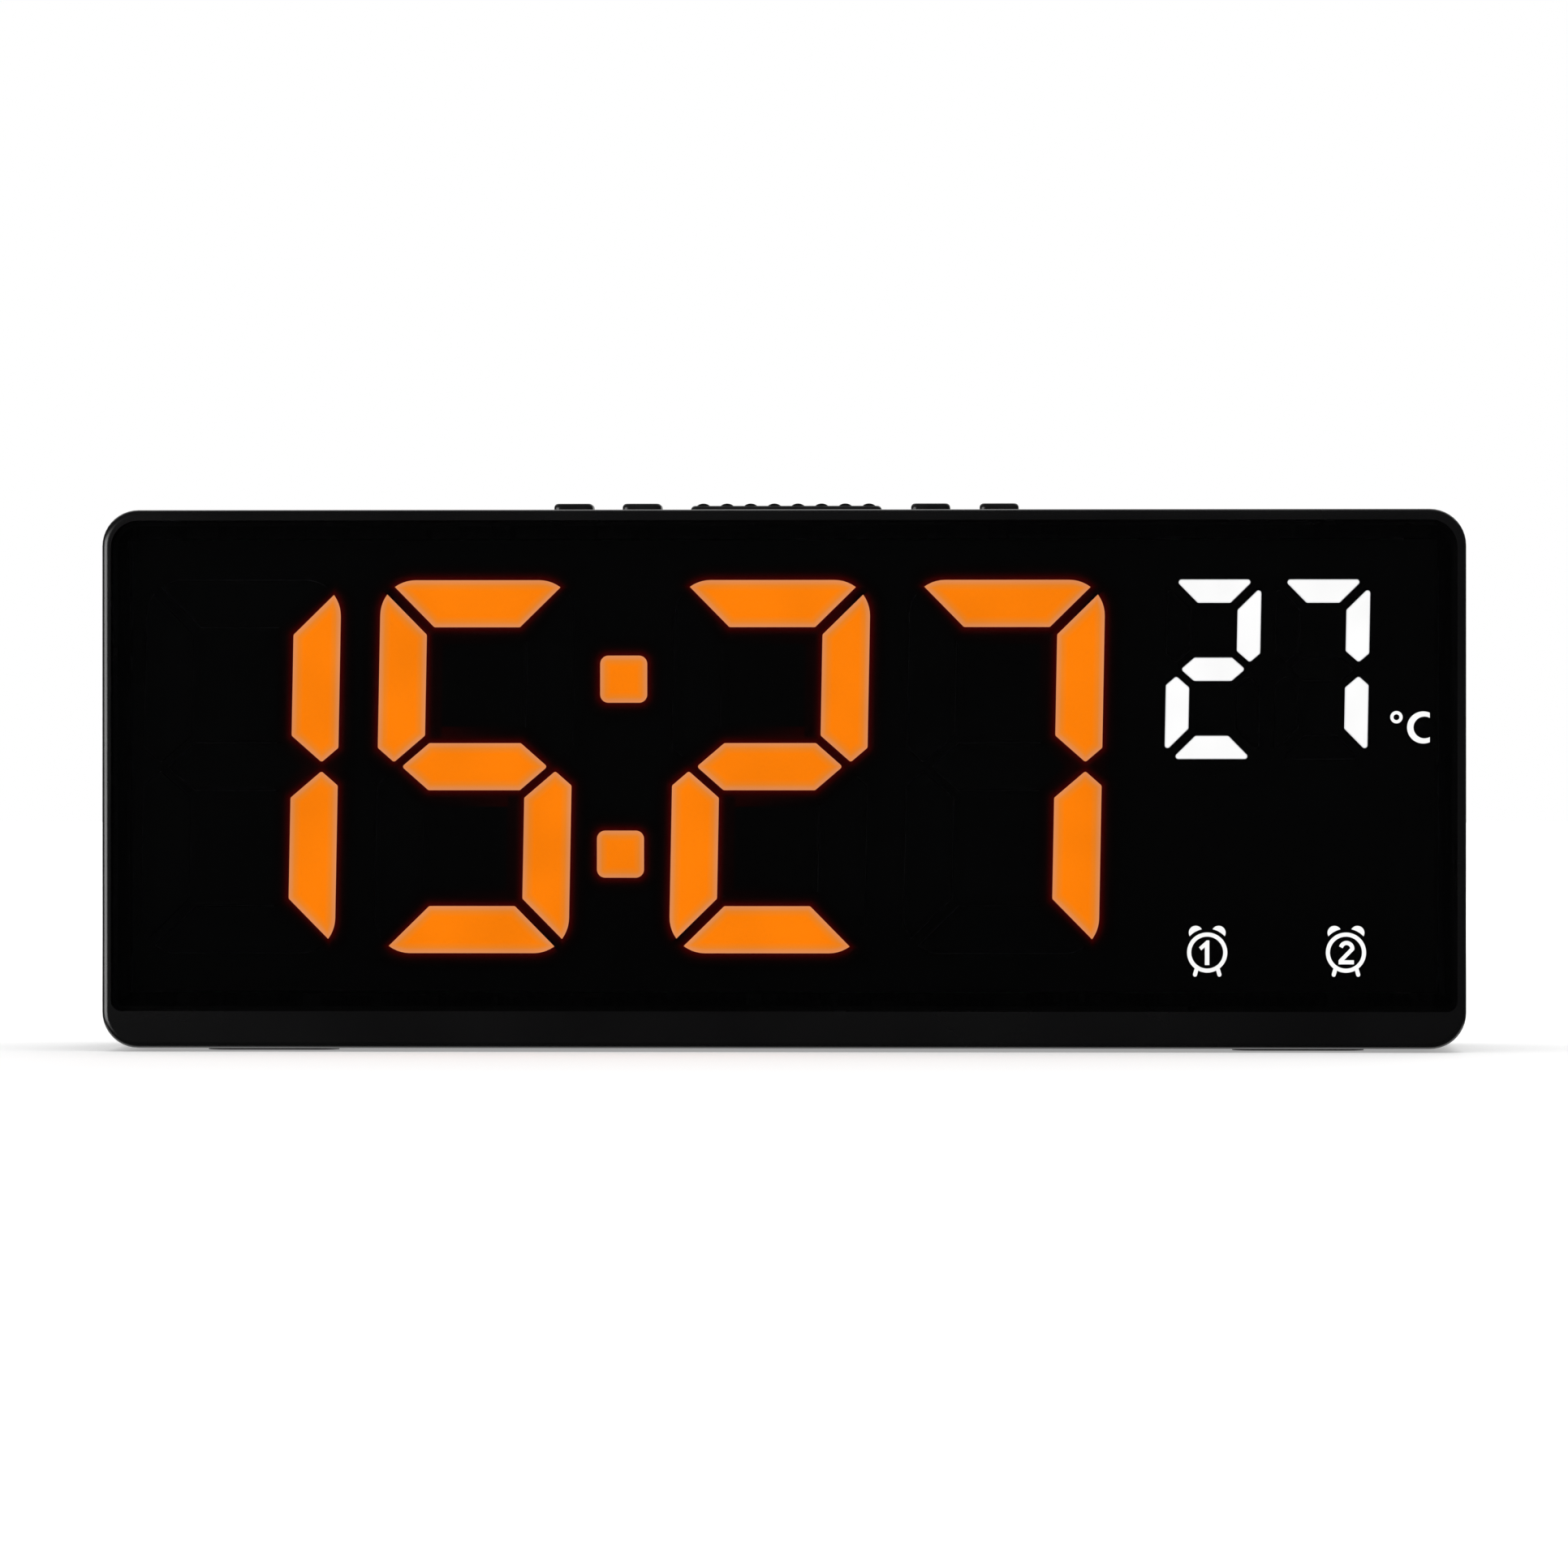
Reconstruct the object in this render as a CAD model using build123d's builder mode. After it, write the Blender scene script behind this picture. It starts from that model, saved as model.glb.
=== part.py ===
# Digital LED desk clock: a shallow front frame round a full-width smoked window, lit time and
# temperature segments behind it, a wedge-backed rear cover with a battery bay, and five top keys.
# Millimetres and degrees. +Z is up, the front faces -Y, and the origin lies on the surface that
# the clock stands on, under the middle of its outline.
import os
from math import cos, hypot, pi, radians, sin, sqrt, tan

from build123d import *

os.makedirs("parts", exist_ok=True)

# Time and temperature digits
time_digit_width = 23.6
time_digit_height = 45.2
time_stroke = 5.7
time_corner = 4.3
time_tip_inset = 2.0
time_tip_gap = 0.55
time_digit_gap = 4.8
colon_room = 12.2
colon_spacing = 21.2
colon_corner = 1.0
temperature_digit_width = 11.25
temperature_digit_height = 21.65
temperature_stroke = 2.75
temperature_corner = 0.8
temperature_tip_inset = 1.2
temperature_tip_gap = 0.88
temperature_digit_gap = 1.9
temperature_room = 7.8
segment_gap = 1.28
middle_gap = 1.05
segment_round = 0.3
tip_angle = 41.0
digit_slant = 1.06
shown_time = "1527"
shown_temperature = "27"

# Unit sign and alarm signs beside the temperature
unit_room = 2.6
unit_width = 4.9
unit_height = 4.6
unit_rise = 3.9
alarm_well_radius = 3.1
alarm_spacing = 16.8
alarm_shift = 1.05
alarm_height = 7.2

# Margins from the digits to the edge of the window
left_margin = 3.7
right_margin = 3.0
top_margin = 7.1
bottom_margin = 6.9

# Case
rim_side = 1.2
rim_top = 1.4
chin = 4.6
case_corner = 4.4
window_foot_corner = 1.2
wall = 2.0
frame_depth = 7.0
front_edge_round = 0.8
rear_edge_round = 3.2
parting_chamfer = 0.3
lip_length = 1.5
lip_thickness = 0.8
lip_clearance = 0.1
rear_lean = 12.0

# Window, light box and main board, stacked from the front
lens_recess = 0.2
lens_thickness = 2.0
lens_clearance = 0.1
lens_chamfer = 0.15
tape_thickness = 0.2
tape_width = 1.6
ledge_width = 2.1
ledge_thickness = 1.3
film_gap = 0.1
film_thickness = 0.3
window_clearance = 0.15
reflector_depth = 6.9
reflector_rim = 0.8
segment_thickness = 1.5
segment_fit = 0.06
well_shoulder = 0.45
board_thickness = 1.6
board_edge_gap = 1.0
led_length = 2.0
led_width = 1.25
led_height = 0.8
led_spread_share = 0.22

# Bosses and screws of the case and the main board
frame_boss_radius = 2.6
cover_boss_radius = 3.1
boss_clearance = 0.25
case_shank_radius = 1.25
case_head_radius = 2.1
case_head_height = 1.6
case_seat = 2.5
case_hold = 6.0
board_boss_radius = 2.0
board_boss_x = 45.0
board_shank_radius = 0.95
board_head_radius = 1.7
board_head_height = 1.2
board_hold = 4.5
thread_clearance = 0.05
hole_clearance = 0.2
head_edge_share = 0.33
driver_cross_share = 0.7
driver_depth_share = 0.5
driver_slot = 0.5

# Top keys and the switches under them
key_width = 4.8
key_depth = 5.0
key_corner = 0.8
key_edge_round = 0.5
key_proud = 1.2
key_gap = 3.6
key_flange_margin = 0.8
key_flange = 1.0
key_slot_clearance = 0.15
key_travel = 0.4
bar_width = 23.4
grip_count = 8
grip_pitch = 2.9
grip_radius = 1.25
grip_height = 0.28
switch_side = 6.0
switch_height = 3.5
switch_edge = 0.4
stem_radius = 1.7
stem_rise = 1.5
stem_depth = 0.9
stem_clearance = 0.12
key_board_gap = 0.9
key_board_depth = 10.0
key_board_thickness = 1.2
key_board_end = 8.4
hanger_inset = 4.0
hanger_radius = 2.2
hanger_shank_radius = 0.85
hanger_head_radius = 1.6
hanger_head_height = 1.1
hanger_hold = 4.0

# Battery bay, cells and contacts
cell_count = 3
cell_radius = 5.25
cell_length = 44.5
cell_edge = 0.4
nub_radius = 1.9
nub_height = 0.8
cell_gap = 0.4
cell_floor_gap = 0.3
cell_door_gap = 0.8
bay_wall = 2.0
bay_floor = 1.2
bay_lift = 1.2
board_room = 5.0
spring_room = 4.0
spring_wire = 0.55
spring_base_radius = 3.4
spring_tip_radius = 2.2
spring_turns = 3
contact_thickness = 0.4
contact_side = 8.6
tail_width = 2.0
tail_proud = 1.5
tail_clearance = 0.1

# Battery door
door_thickness = 1.6
door_ledge = 1.0
door_gap = 0.25
door_corner = 1.5
hook_width = 6.0
hook_leg = 0.8
hook_toe = 1.0
hook_reach = 0.8
hook_clearance = 0.2
hook_skin = 0.8
hook_place_share = 0.33
latch_width = 14.0
latch_length = 9.0
latch_slot = 0.8
latch_ridge = 0.7
latch_ridge_height = 0.4
latch_ridge_count = 3
latch_ridge_pitch = 1.8
scoop_radius = 6.5
scoop_depth = 1.0

# Power inlet and its small board
usb_width = 9.0
usb_height = 3.2
usb_length = 7.4
usb_shell = 0.3
usb_recess = 0.6
usb_cut_clearance = 0.25
usb_tongue_width = 6.6
usb_tongue_thickness = 0.7
usb_tongue_gap = 0.9
usb_base_thickness = 1.2
usb_offset = 22.0
usb_drop = 12.0
usb_board_width = 16.0
usb_board_depth = 12.0
usb_board_thickness = 1.0
usb_board_gap = 0.4
rail_width = 2.4
rail_height = 3.4
rail_length = 9.0
rail_bite = 0.8
rail_clearance = 0.1

# Sounder, vent, sensor and other parts on the back of the main board
sounder_radius = 6.0
sounder_height = 5.5
sounder_hole_radius = 1.0
sounder_hole_depth = 2.5
sounder_edge = 0.5
sounder_offset = 16.0
sound_hole_radius = 0.8
sound_ring_radius = 3.2
sound_ring_count = 6
vent_offset = 36.0
vent_length = 11.0
vent_width = 1.2
vent_pitch = 2.6
vent_count = 5
sensor_radius = 1.2
sensor_reach = 7.0
sensor_wire_radius = 0.25
sensor_wire_spacing = 1.2
chip_length = 18.0
chip_width = 7.5
chip_height = 2.2
chip_pin_count = 14
chip_pin_width = 0.5
chip_pin_reach = 1.4
chip_pin_height = 0.9
chip_edge = 0.3
chip_place_shares = (-0.36, 0.24)
crystal_radius = 1.5
crystal_length = 8.0
crystal_edge = 0.5
crystal_place_shares = (-0.36, 0.09)
capacitor_radius = 3.2
capacitor_height = 7.0
capacitor_edge = 0.5
capacitor_place_shares = (-0.44, -0.08)
header_width = 8.0
header_depth = 5.0
header_height = 5.0
header_wall = 0.8
battery_header_place_shares = (0.0, -0.3)
power_header_place_shares = (-0.31, -0.04)
lead_radius = 0.55
lead_spacing = 2.6
lead_start = 2.4
lead_bend = 1.2
lead_end = 3.2
ribbon_width = 9.0
ribbon_thickness = 0.5
ribbon_drop = 5.5

# Feet
foot_length = 16.0
foot_width = 5.0
foot_thickness = 1.4
foot_proud = 0.4
foot_clearance = 0.1
foot_inset = 20.0
foot_front_gap = 0.8
foot_rear_inset = 10.0

# Outline of the window and the case, from the digits outwards
time_width = 4 * time_digit_width + 2 * time_digit_gap + colon_room
temperature_width = 2 * temperature_digit_width + temperature_digit_gap
display_width = time_width + temperature_room + temperature_width + unit_room + unit_width
lens_width = left_margin + display_width + right_margin
lens_height = bottom_margin + time_digit_height + top_margin
case_width = lens_width + 2 * rim_side
case_height = chin + lens_height + rim_top
bottom_z = foot_proud
top_z = bottom_z + case_height
case_mid_z = bottom_z + case_height / 2
lens_bottom_z = bottom_z + chin
lens_mid_z = lens_bottom_z + lens_height / 2
window_width = lens_width - 2 * ledge_width
window_height = lens_height - 2 * ledge_width
cavity_width = case_width - 2 * wall
cavity_height = case_height - 2 * wall
cavity_corner = case_corner - wall

# Depths behind the front face
lens_back = lens_recess + lens_thickness
ledge_front = lens_back + tape_thickness
ledge_back = ledge_front + ledge_thickness
film_front = lens_back + film_gap
reflector_front = film_front + film_thickness
board_front = reflector_front + reflector_depth
board_back = board_front + board_thickness

# Battery bay, in the plane of the leaning rear wall
cell_pitch = 2 * cell_radius + cell_gap
bay_length = cell_length + spring_room + 2 * contact_thickness
bay_height = cell_count * cell_pitch + cell_gap
bay_depth = door_thickness + cell_door_gap + 2 * cell_radius + cell_floor_gap
bay_half = bay_height / 2 + bay_wall
cell_rows = [(row - (cell_count - 1) / 2) * cell_pitch for row in range(cell_count)]
cell_ways = [1 if row % 2 == 0 else -1 for row in range(cell_count)]
end_contacts = {1: cell_rows[0], -1: cell_rows[-1]}
bay_reach = bay_depth + bay_floor
door_length = bay_length + 2 * door_ledge
door_height = bay_height + 2 * door_ledge

# The rear wall stands just behind the bay, which clears the main board by the room for its parts
lean_sin = sin(radians(rear_lean))
lean_cos = cos(radians(rear_lean))
lean_tan = tan(radians(rear_lean))
rear_centre_depth = board_back + board_room + bay_half * lean_sin + bay_reach * lean_cos
rear_centre_z = bottom_z + wall + bay_lift + bay_half * lean_cos + bay_reach * lean_sin
rear_foot_depth = rear_centre_depth + (rear_centre_z - bottom_z) * lean_tan
case_depth = rear_foot_depth - rear_edge_round * ((1 + lean_sin) / lean_cos - 1)
rear_plane = Plane(
    origin=(0, rear_centre_depth - case_depth / 2, rear_centre_z),
    x_dir=(-1, 0, 0),
    z_dir=(0, lean_cos, lean_sin),
)

# Places of the bosses, keys and openings
case_boss_inset = wall + frame_boss_radius + boss_clearance
board_boss_inset = wall + board_boss_radius + boss_clearance
case_boss_x = case_width / 2 - case_boss_inset
board_width = cavity_width - 2 * board_edge_gap
board_height = cavity_height - 2 * board_edge_gap
key_centre_depth = board_back + key_board_gap + key_board_depth / 2
inner_key_x = bar_width / 2 + key_gap + key_width / 2
outer_key_x = inner_key_x + key_width + key_gap
flange_top_z = top_z - wall
flange_bottom_z = flange_top_z - key_flange
switch_top_z = flange_bottom_z - stem_rise
key_board_top_z = switch_top_z - switch_height
key_board_length = 2 * (outer_key_x + switch_side / 2 + key_board_end)
hanger_x = key_board_length / 2 - hanger_inset
bay_side = bay_length / 2 + bay_wall
usb_place = (bay_side + usb_offset, -usb_drop)
sounder_place = (-bay_side - sounder_offset, 0)
vent_place = (-bay_side - vent_offset, 0)


def facing(depth):
    # Upright plane at a depth behind the front face, drawn as seen from the front
    return Plane.XZ.offset(case_depth / 2 - depth)


def level(height):
    # Flat plane at a height, with its zero line at the front face
    return Plane((0, -case_depth / 2, height))


def rear(height):
    # Plane parallel to the rear wall, drawn as seen from behind, with its height outwards
    return rear_plane.offset(height)


def rear_point(across, up, out):
    return rear_plane.from_local_coords(Vector(across, up, out))


def save(piece, name):
    piece.part.label = name
    export_step(piece.part, f"parts/{name}.step")


def corners(half_width, inset):
    # The four places at an inset from the top and the bottom of the case
    return [
        (side * half_width, height)
        for side in (-1, 1)
        for height in (bottom_z + inset, top_z - inset)
    ]


# Outlines of the seven segments, a to g, about the middle of a digit
def slanted(points):
    return [(x + z * tan(radians(digit_slant)), z) for x, z in points]


def flipped(points, across, up):
    return [(across * x, up * z) for x, z in points]


def digit_segments(width, height, stroke, corner, tip_inset, tip_gap):
    right = width / 2
    top = height / 2
    shift = segment_gap / sqrt(2)
    slope = tan(radians(tip_angle))
    cross = right - tip_inset - (middle_gap / cos(radians(tip_angle)) - tip_gap) / slope
    shoulder = cross - stroke / 2 / slope
    bar = [
        (-right + shift, top),
        (right - shift, top),
        (right - shift - stroke, top - stroke),
        (-right + shift + stroke, top - stroke),
    ]
    upright = [
        (right, top - shift),
        (right, tip_gap + tip_inset * slope),
        (right - tip_inset, tip_gap),
        (right - stroke, tip_gap + (stroke - tip_inset) * slope),
        (right - stroke, top - shift - stroke),
    ]
    middle = [
        (cross, 0),
        (shoulder, stroke / 2),
        (-shoulder, stroke / 2),
        (-cross, 0),
        (-shoulder, -stroke / 2),
        (shoulder, -stroke / 2),
    ]
    outlines = {
        "a": bar,
        "b": upright,
        "c": flipped(upright, 1, -1),
        "d": flipped(bar, 1, -1),
        "e": flipped(upright, -1, -1),
        "f": flipped(upright, -1, 1),
        "g": middle,
    }
    with BuildSketch() as blank:
        with BuildLine():
            Polyline(*slanted([(-right, -top), (right, -top), (right, top), (-right, top)]), close=True)
        make_face()
        fillet(blank.vertices(), corner)
    segments = {}
    for letter, points in outlines.items():
        with BuildSketch() as segment:
            with BuildLine():
                Polyline(*slanted(points), close=True)
            make_face()
            fillet(segment.vertices(), segment_round)
            add(blank.sketch, mode=Mode.INTERSECT)
        segments[letter] = segment.sketch
    return segments


def resized(shape, amount):
    with BuildSketch() as changed:
        add(shape)
        offset(amount=amount, kind=Kind.INTERSECTION, mode=Mode.REPLACE)
    return changed.sketch


digit_strokes = {
    "0": "abcdef",
    "1": "bc",
    "2": "abdeg",
    "3": "abcdg",
    "4": "bcfg",
    "5": "acdfg",
    "6": "acdefg",
    "7": "abc",
    "8": "abcdefg",
    "9": "abcdfg",
}
time_segments = digit_segments(
    time_digit_width, time_digit_height, time_stroke, time_corner, time_tip_inset, time_tip_gap
)
temperature_segments = digit_segments(
    temperature_digit_width,
    temperature_digit_height,
    temperature_stroke,
    temperature_corner,
    temperature_tip_inset,
    temperature_tip_gap,
)
with BuildSketch() as colon_dot:
    RectangleRounded(time_stroke, time_stroke, colon_corner)

# Places of the digits, from the left edge of the window
display_left = -lens_width / 2 + left_margin
time_mid_z = lens_bottom_z + bottom_margin + time_digit_height / 2
time_pitch = time_digit_width + time_digit_gap
minutes_left = display_left + 2 * time_digit_width + time_digit_gap + colon_room
time_places = [
    (start + time_digit_width / 2 + step * time_pitch, time_mid_z)
    for start in (display_left, minutes_left)
    for step in (0, 1)
]
colon_x = minutes_left - colon_room / 2
colon_lean = colon_spacing / 2 * tan(radians(digit_slant))
colon_places = [
    (colon_x + side * colon_lean, time_mid_z + side * colon_spacing / 2) for side in (-1, 1)
]
temperature_left = display_left + time_width + temperature_room
temperature_mid_z = time_mid_z + (time_digit_height - temperature_digit_height) / 2
temperature_pitch = temperature_digit_width + temperature_digit_gap
temperature_places = [
    (temperature_left + temperature_digit_width / 2 + step * temperature_pitch, temperature_mid_z)
    for step in (0, 1)
]
unit_place = (
    temperature_left + temperature_width + unit_room + unit_width / 2,
    temperature_mid_z - temperature_digit_height / 2 + unit_rise,
)
alarm_mid_x = temperature_left + temperature_width / 2 + alarm_shift
alarm_z = lens_bottom_z + alarm_height
alarm_places = [(alarm_mid_x + side * alarm_spacing / 2, alarm_z) for side in (-1, 1)]


def sorted_segments(segments, places, text):
    # Lit and dark segments of a row of digits, each with its place
    lit = []
    dark = []
    for place, figure in zip(places, text):
        for letter, shape in segments.items():
            group = lit if letter in digit_strokes[figure] else dark
            group.append((shape, place, letter))
    return lit, dark


time_lit, time_dark = sorted_segments(time_segments, time_places, shown_time)
temperature_lit, temperature_dark = sorted_segments(
    temperature_segments, temperature_places, shown_temperature
)
colon_shapes = [(colon_dot.sketch, place, "dot") for place in colon_places]
all_segments = time_lit + time_dark + temperature_lit + temperature_dark + colon_shapes
window_shapes = {}
well_shapes = {}
for shape, place, letter in all_segments:
    if shape not in window_shapes:
        window_shapes[shape] = resized(shape, segment_fit)
        well_shapes[shape] = resized(shape, -well_shoulder)

# Lens: the full-width smoked window
with BuildSketch() as lens_outline:
    Rectangle(lens_width, lens_height)
    fillet(lens_outline.vertices().group_by(Axis.Y)[-1], case_corner - rim_side)
    fillet(lens_outline.vertices().group_by(Axis.Y)[0], window_foot_corner)
with BuildPart() as front_lens:
    with BuildSketch(facing(lens_recess)):
        with Locations((0, lens_mid_z)):
            add(lens_outline.sketch)
    extrude(amount=-lens_thickness)
    chamfer(front_lens.faces().sort_by(Axis.Y)[0].edges(), lens_chamfer)
save(front_lens, "front_lens")

# Adhesive ring between the lens and the ledge of the frame
with BuildPart() as lens_tape:
    with BuildSketch(facing(lens_back)):
        with Locations((0, lens_mid_z)):
            add(resized(lens_outline.sketch, tape_width - ledge_width))
            Rectangle(window_width, window_height, mode=Mode.SUBTRACT)
    extrude(amount=-tape_thickness)
save(lens_tape, "lens_tape")

# Front frame: rim, chin, lens pocket, ledge, open back with a groove, and screw bosses
pocket_outline = resized(lens_outline.sketch, lens_clearance)
with BuildPart() as front_frame:
    with BuildSketch(facing(0)):
        with Locations((0, case_mid_z)):
            RectangleRounded(case_width, case_height, case_corner)
    extrude(amount=-frame_depth)
    fillet(front_frame.faces().sort_by(Axis.Y)[0].edges(), front_edge_round)
    chamfer(front_frame.faces().sort_by(Axis.Y)[-1].edges(), parting_chamfer)
    with BuildSketch(facing(0)):
        with Locations((0, lens_mid_z)):
            add(pocket_outline)
    extrude(amount=-ledge_front, mode=Mode.SUBTRACT)
    with BuildSketch(facing(0)):
        with Locations((0, lens_mid_z)):
            Rectangle(window_width, window_height)
    extrude(amount=-frame_depth, mode=Mode.SUBTRACT)
    with BuildSketch(facing(ledge_back)):
        with Locations((0, case_mid_z)):
            RectangleRounded(cavity_width, cavity_height, cavity_corner)
    extrude(amount=-frame_depth, mode=Mode.SUBTRACT)
    groove = lip_thickness + lip_clearance
    with BuildSketch(facing(frame_depth - lip_length - lip_clearance)):
        with Locations((0, case_mid_z)):
            RectangleRounded(
                cavity_width + 2 * groove,
                cavity_height + 2 * groove,
                cavity_corner + groove,
            )
    extrude(amount=-frame_depth, mode=Mode.SUBTRACT)
    # Each boss is a round post with a web to the wall beside it
    web_depth = frame_depth - lip_length - lip_clearance - ledge_back
    web_root = wall / 2
    for radius, inset, half_width, end in (
        (frame_boss_radius, case_boss_inset, case_boss_x, board_back),
        (board_boss_radius, board_boss_inset, board_boss_x, board_front),
    ):
        with BuildSketch(facing(ledge_back)):
            with Locations(*corners(half_width, inset)):
                Circle(radius)
        extrude(amount=-(end - ledge_back))
        with BuildSketch(facing(ledge_back)):
            with Locations(*corners(half_width, (inset + web_root) / 2)):
                Rectangle(2 * radius, inset - web_root)
        extrude(amount=-web_depth)
    for radius, hold, half_width, inset, end in (
        (case_shank_radius, case_hold, case_boss_x, case_boss_inset, board_back),
        (board_shank_radius, board_hold, board_boss_x, board_boss_inset, board_front),
    ):
        with BuildSketch(facing(end)):
            with Locations(*corners(half_width, inset)):
                Circle(radius + thread_clearance)
        extrude(amount=hold + hole_clearance, mode=Mode.SUBTRACT)
save(front_frame, "front_frame")

# Black mask film with a window for each segment
with BuildPart() as mask_film:
    with BuildSketch(facing(film_front)):
        with Locations((0, lens_mid_z)):
            Rectangle(window_width - 2 * window_clearance, window_height - 2 * window_clearance)
        for shape, place, letter in all_segments:
            with Locations(place):
                add(window_shapes[shape], mode=Mode.SUBTRACT)
    extrude(amount=-film_thickness)
save(mask_film, "mask_film")

# Light box: a seat for each diffuser, with a narrower well behind it down to the board
reflector_top_z = time_mid_z + time_digit_height / 2 + reflector_rim
reflector_bottom_z = alarm_z - alarm_well_radius - reflector_rim
seat_depth = segment_thickness - film_thickness
with BuildPart() as reflector_block:
    with BuildSketch(facing(reflector_front)):
        with Locations((0, (reflector_top_z + reflector_bottom_z) / 2)):
            Rectangle(window_width - 2 * window_clearance, reflector_top_z - reflector_bottom_z)
    extrude(amount=-reflector_depth)
    with BuildSketch(facing(reflector_front)):
        for shape, place, letter in all_segments:
            with Locations(place):
                add(window_shapes[shape])
    extrude(amount=-seat_depth, mode=Mode.SUBTRACT)
    with BuildSketch(facing(reflector_front)):
        for shape, place, letter in all_segments:
            with Locations(place):
                add(well_shapes[shape])
    extrude(amount=-reflector_depth, mode=Mode.SUBTRACT)
    with BuildSketch(facing(reflector_front)):
        with Locations(*alarm_places):
            Circle(alarm_well_radius)
        with Locations(unit_place):
            Rectangle(unit_width, unit_height)
    extrude(amount=-seat_depth, mode=Mode.SUBTRACT)
    with BuildSketch(facing(reflector_front)):
        with Locations(*alarm_places):
            Circle(alarm_well_radius - well_shoulder)
        with Locations(unit_place):
            Rectangle(unit_width - 2 * well_shoulder, unit_height - 2 * well_shoulder)
    extrude(amount=-reflector_depth, mode=Mode.SUBTRACT)
    with BuildSketch(facing(reflector_front)):
        with Locations(*corners(case_boss_x, case_boss_inset)):
            Circle(frame_boss_radius + boss_clearance)
        with Locations(*corners(board_boss_x, board_boss_inset)):
            Circle(board_boss_radius + boss_clearance)
    extrude(amount=-reflector_depth, mode=Mode.SUBTRACT)
save(reflector_block, "reflector_block")

# Diffusers: one solid for each segment, flush with the front of the film
for group, name in (
    (time_lit, "time_segments_lit"),
    (time_dark, "time_segments_dark"),
    (colon_shapes, "colon_dots"),
    (temperature_lit, "temperature_segments_lit"),
    (temperature_dark, "temperature_segments_dark"),
):
    with BuildPart() as diffusers:
        with BuildSketch(facing(film_front)):
            for shape, place, letter in group:
                with Locations(place):
                    add(shape)
        extrude(amount=-segment_thickness)
    save(diffusers, name)

# Diffusers of the printed signs lie behind the film
with BuildPart() as sign_diffusers:
    with BuildSketch(facing(reflector_front)):
        with Locations(*alarm_places):
            Circle(alarm_well_radius - segment_fit)
        with Locations(unit_place):
            Rectangle(unit_width - 2 * segment_fit, unit_height - 2 * segment_fit)
    extrude(amount=-seat_depth)
save(sign_diffusers, "sign_diffusers")

# Main board, cut away at its corners for the bosses of the case
notch = 2 * (case_boss_inset - wall - board_edge_gap + cover_boss_radius + boss_clearance)
with BuildPart() as main_board:
    with BuildSketch(facing(board_front)):
        with Locations((0, case_mid_z)):
            Rectangle(board_width, board_height)
            with GridLocations(board_width, board_height, 2, 2):
                Rectangle(notch, notch, mode=Mode.SUBTRACT)
        with Locations(*corners(board_boss_x, board_boss_inset)):
            Circle(board_shank_radius + hole_clearance, mode=Mode.SUBTRACT)
    extrude(amount=-board_thickness)
save(main_board, "main_board")

# Light sources: two in each time segment, one in each smaller well
with BuildPart() as display_leds:
    with BuildSketch(facing(board_front)):
        for shape, place, letter in all_segments:
            middle = shape.center(CenterOf.BOUNDING_BOX) + Vector(*place)
            flat = letter in "adg"
            is_time = (shape, place, letter) in time_lit + time_dark
            reach = time_digit_width if flat else time_digit_height / 2
            steps = (-led_spread_share * reach, led_spread_share * reach) if is_time else (0,)
            led_sides = (led_length, led_width) if flat else (led_width, led_length)
            for step in steps:
                with Locations((middle.X + step, middle.Y) if flat else (middle.X, middle.Y + step)):
                    Rectangle(*led_sides)
        with Locations(*alarm_places, unit_place):
            Rectangle(led_length, led_width)
    extrude(amount=led_height)
save(display_leds, "display_leds")


def screw(shank_radius, head_radius, head_height, length):
    # A pan-head screw along its axis, with the underside of its head at zero and a cross recess
    with BuildPart() as made:
        Cylinder(head_radius, head_height, align=(Align.CENTER, Align.CENTER, Align.MIN))
        chamfer(made.edges().group_by(Axis.Z)[-1], head_height * head_edge_share)
        with BuildSketch(Plane.XY.offset(head_height)):
            Rectangle(2 * head_radius * driver_cross_share, driver_slot)
            Rectangle(driver_slot, 2 * head_radius * driver_cross_share)
        extrude(amount=-head_height * driver_depth_share, mode=Mode.SUBTRACT)
        Cylinder(shank_radius, length, align=(Align.CENTER, Align.CENTER, Align.MAX))
    return made.part


def screw_group(name, shape, places):
    with BuildPart() as group:
        for place in places:
            add(place * shape)
    save(group, name)


board_screw = screw(
    board_shank_radius, board_head_radius, board_head_height, board_thickness + board_hold
)
screw_group(
    "board_screws",
    board_screw,
    [
        Plane((x, board_back - case_depth / 2, z), x_dir=(1, 0, 0), z_dir=(0, 1, 0)).location
        for x, z in corners(board_boss_x, board_boss_inset)
    ],
)
case_seat_depth = board_back + case_seat
case_screw = screw(case_shank_radius, case_head_radius, case_head_height, case_seat + case_hold)
screw_group(
    "case_screws",
    case_screw,
    [
        Plane((x, case_seat_depth - case_depth / 2, z), x_dir=(1, 0, 0), z_dir=(0, 1, 0)).location
        for x, z in corners(case_boss_x, case_boss_inset)
    ],
)
hanger_screw = screw(
    hanger_shank_radius, hanger_head_radius, hanger_head_height, key_board_thickness + hanger_hold
)
key_board_bottom_z = key_board_top_z - key_board_thickness
screw_group(
    "key_board_screws",
    hanger_screw,
    [
        Plane(
            (side * hanger_x, key_centre_depth - case_depth / 2, key_board_bottom_z),
            x_dir=(1, 0, 0),
            z_dir=(0, 0, -1),
        ).location
        for side in (-1, 1)
    ],
)

# Keys: the wide grip bar between two pairs of small keys
key_row = {
    "left_outer": (-outer_key_x, key_width),
    "left_inner": (-inner_key_x, key_width),
    "snooze": (0, bar_width),
    "right_inner": (inner_key_x, key_width),
    "right_outer": (outer_key_x, key_width),
}

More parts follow.
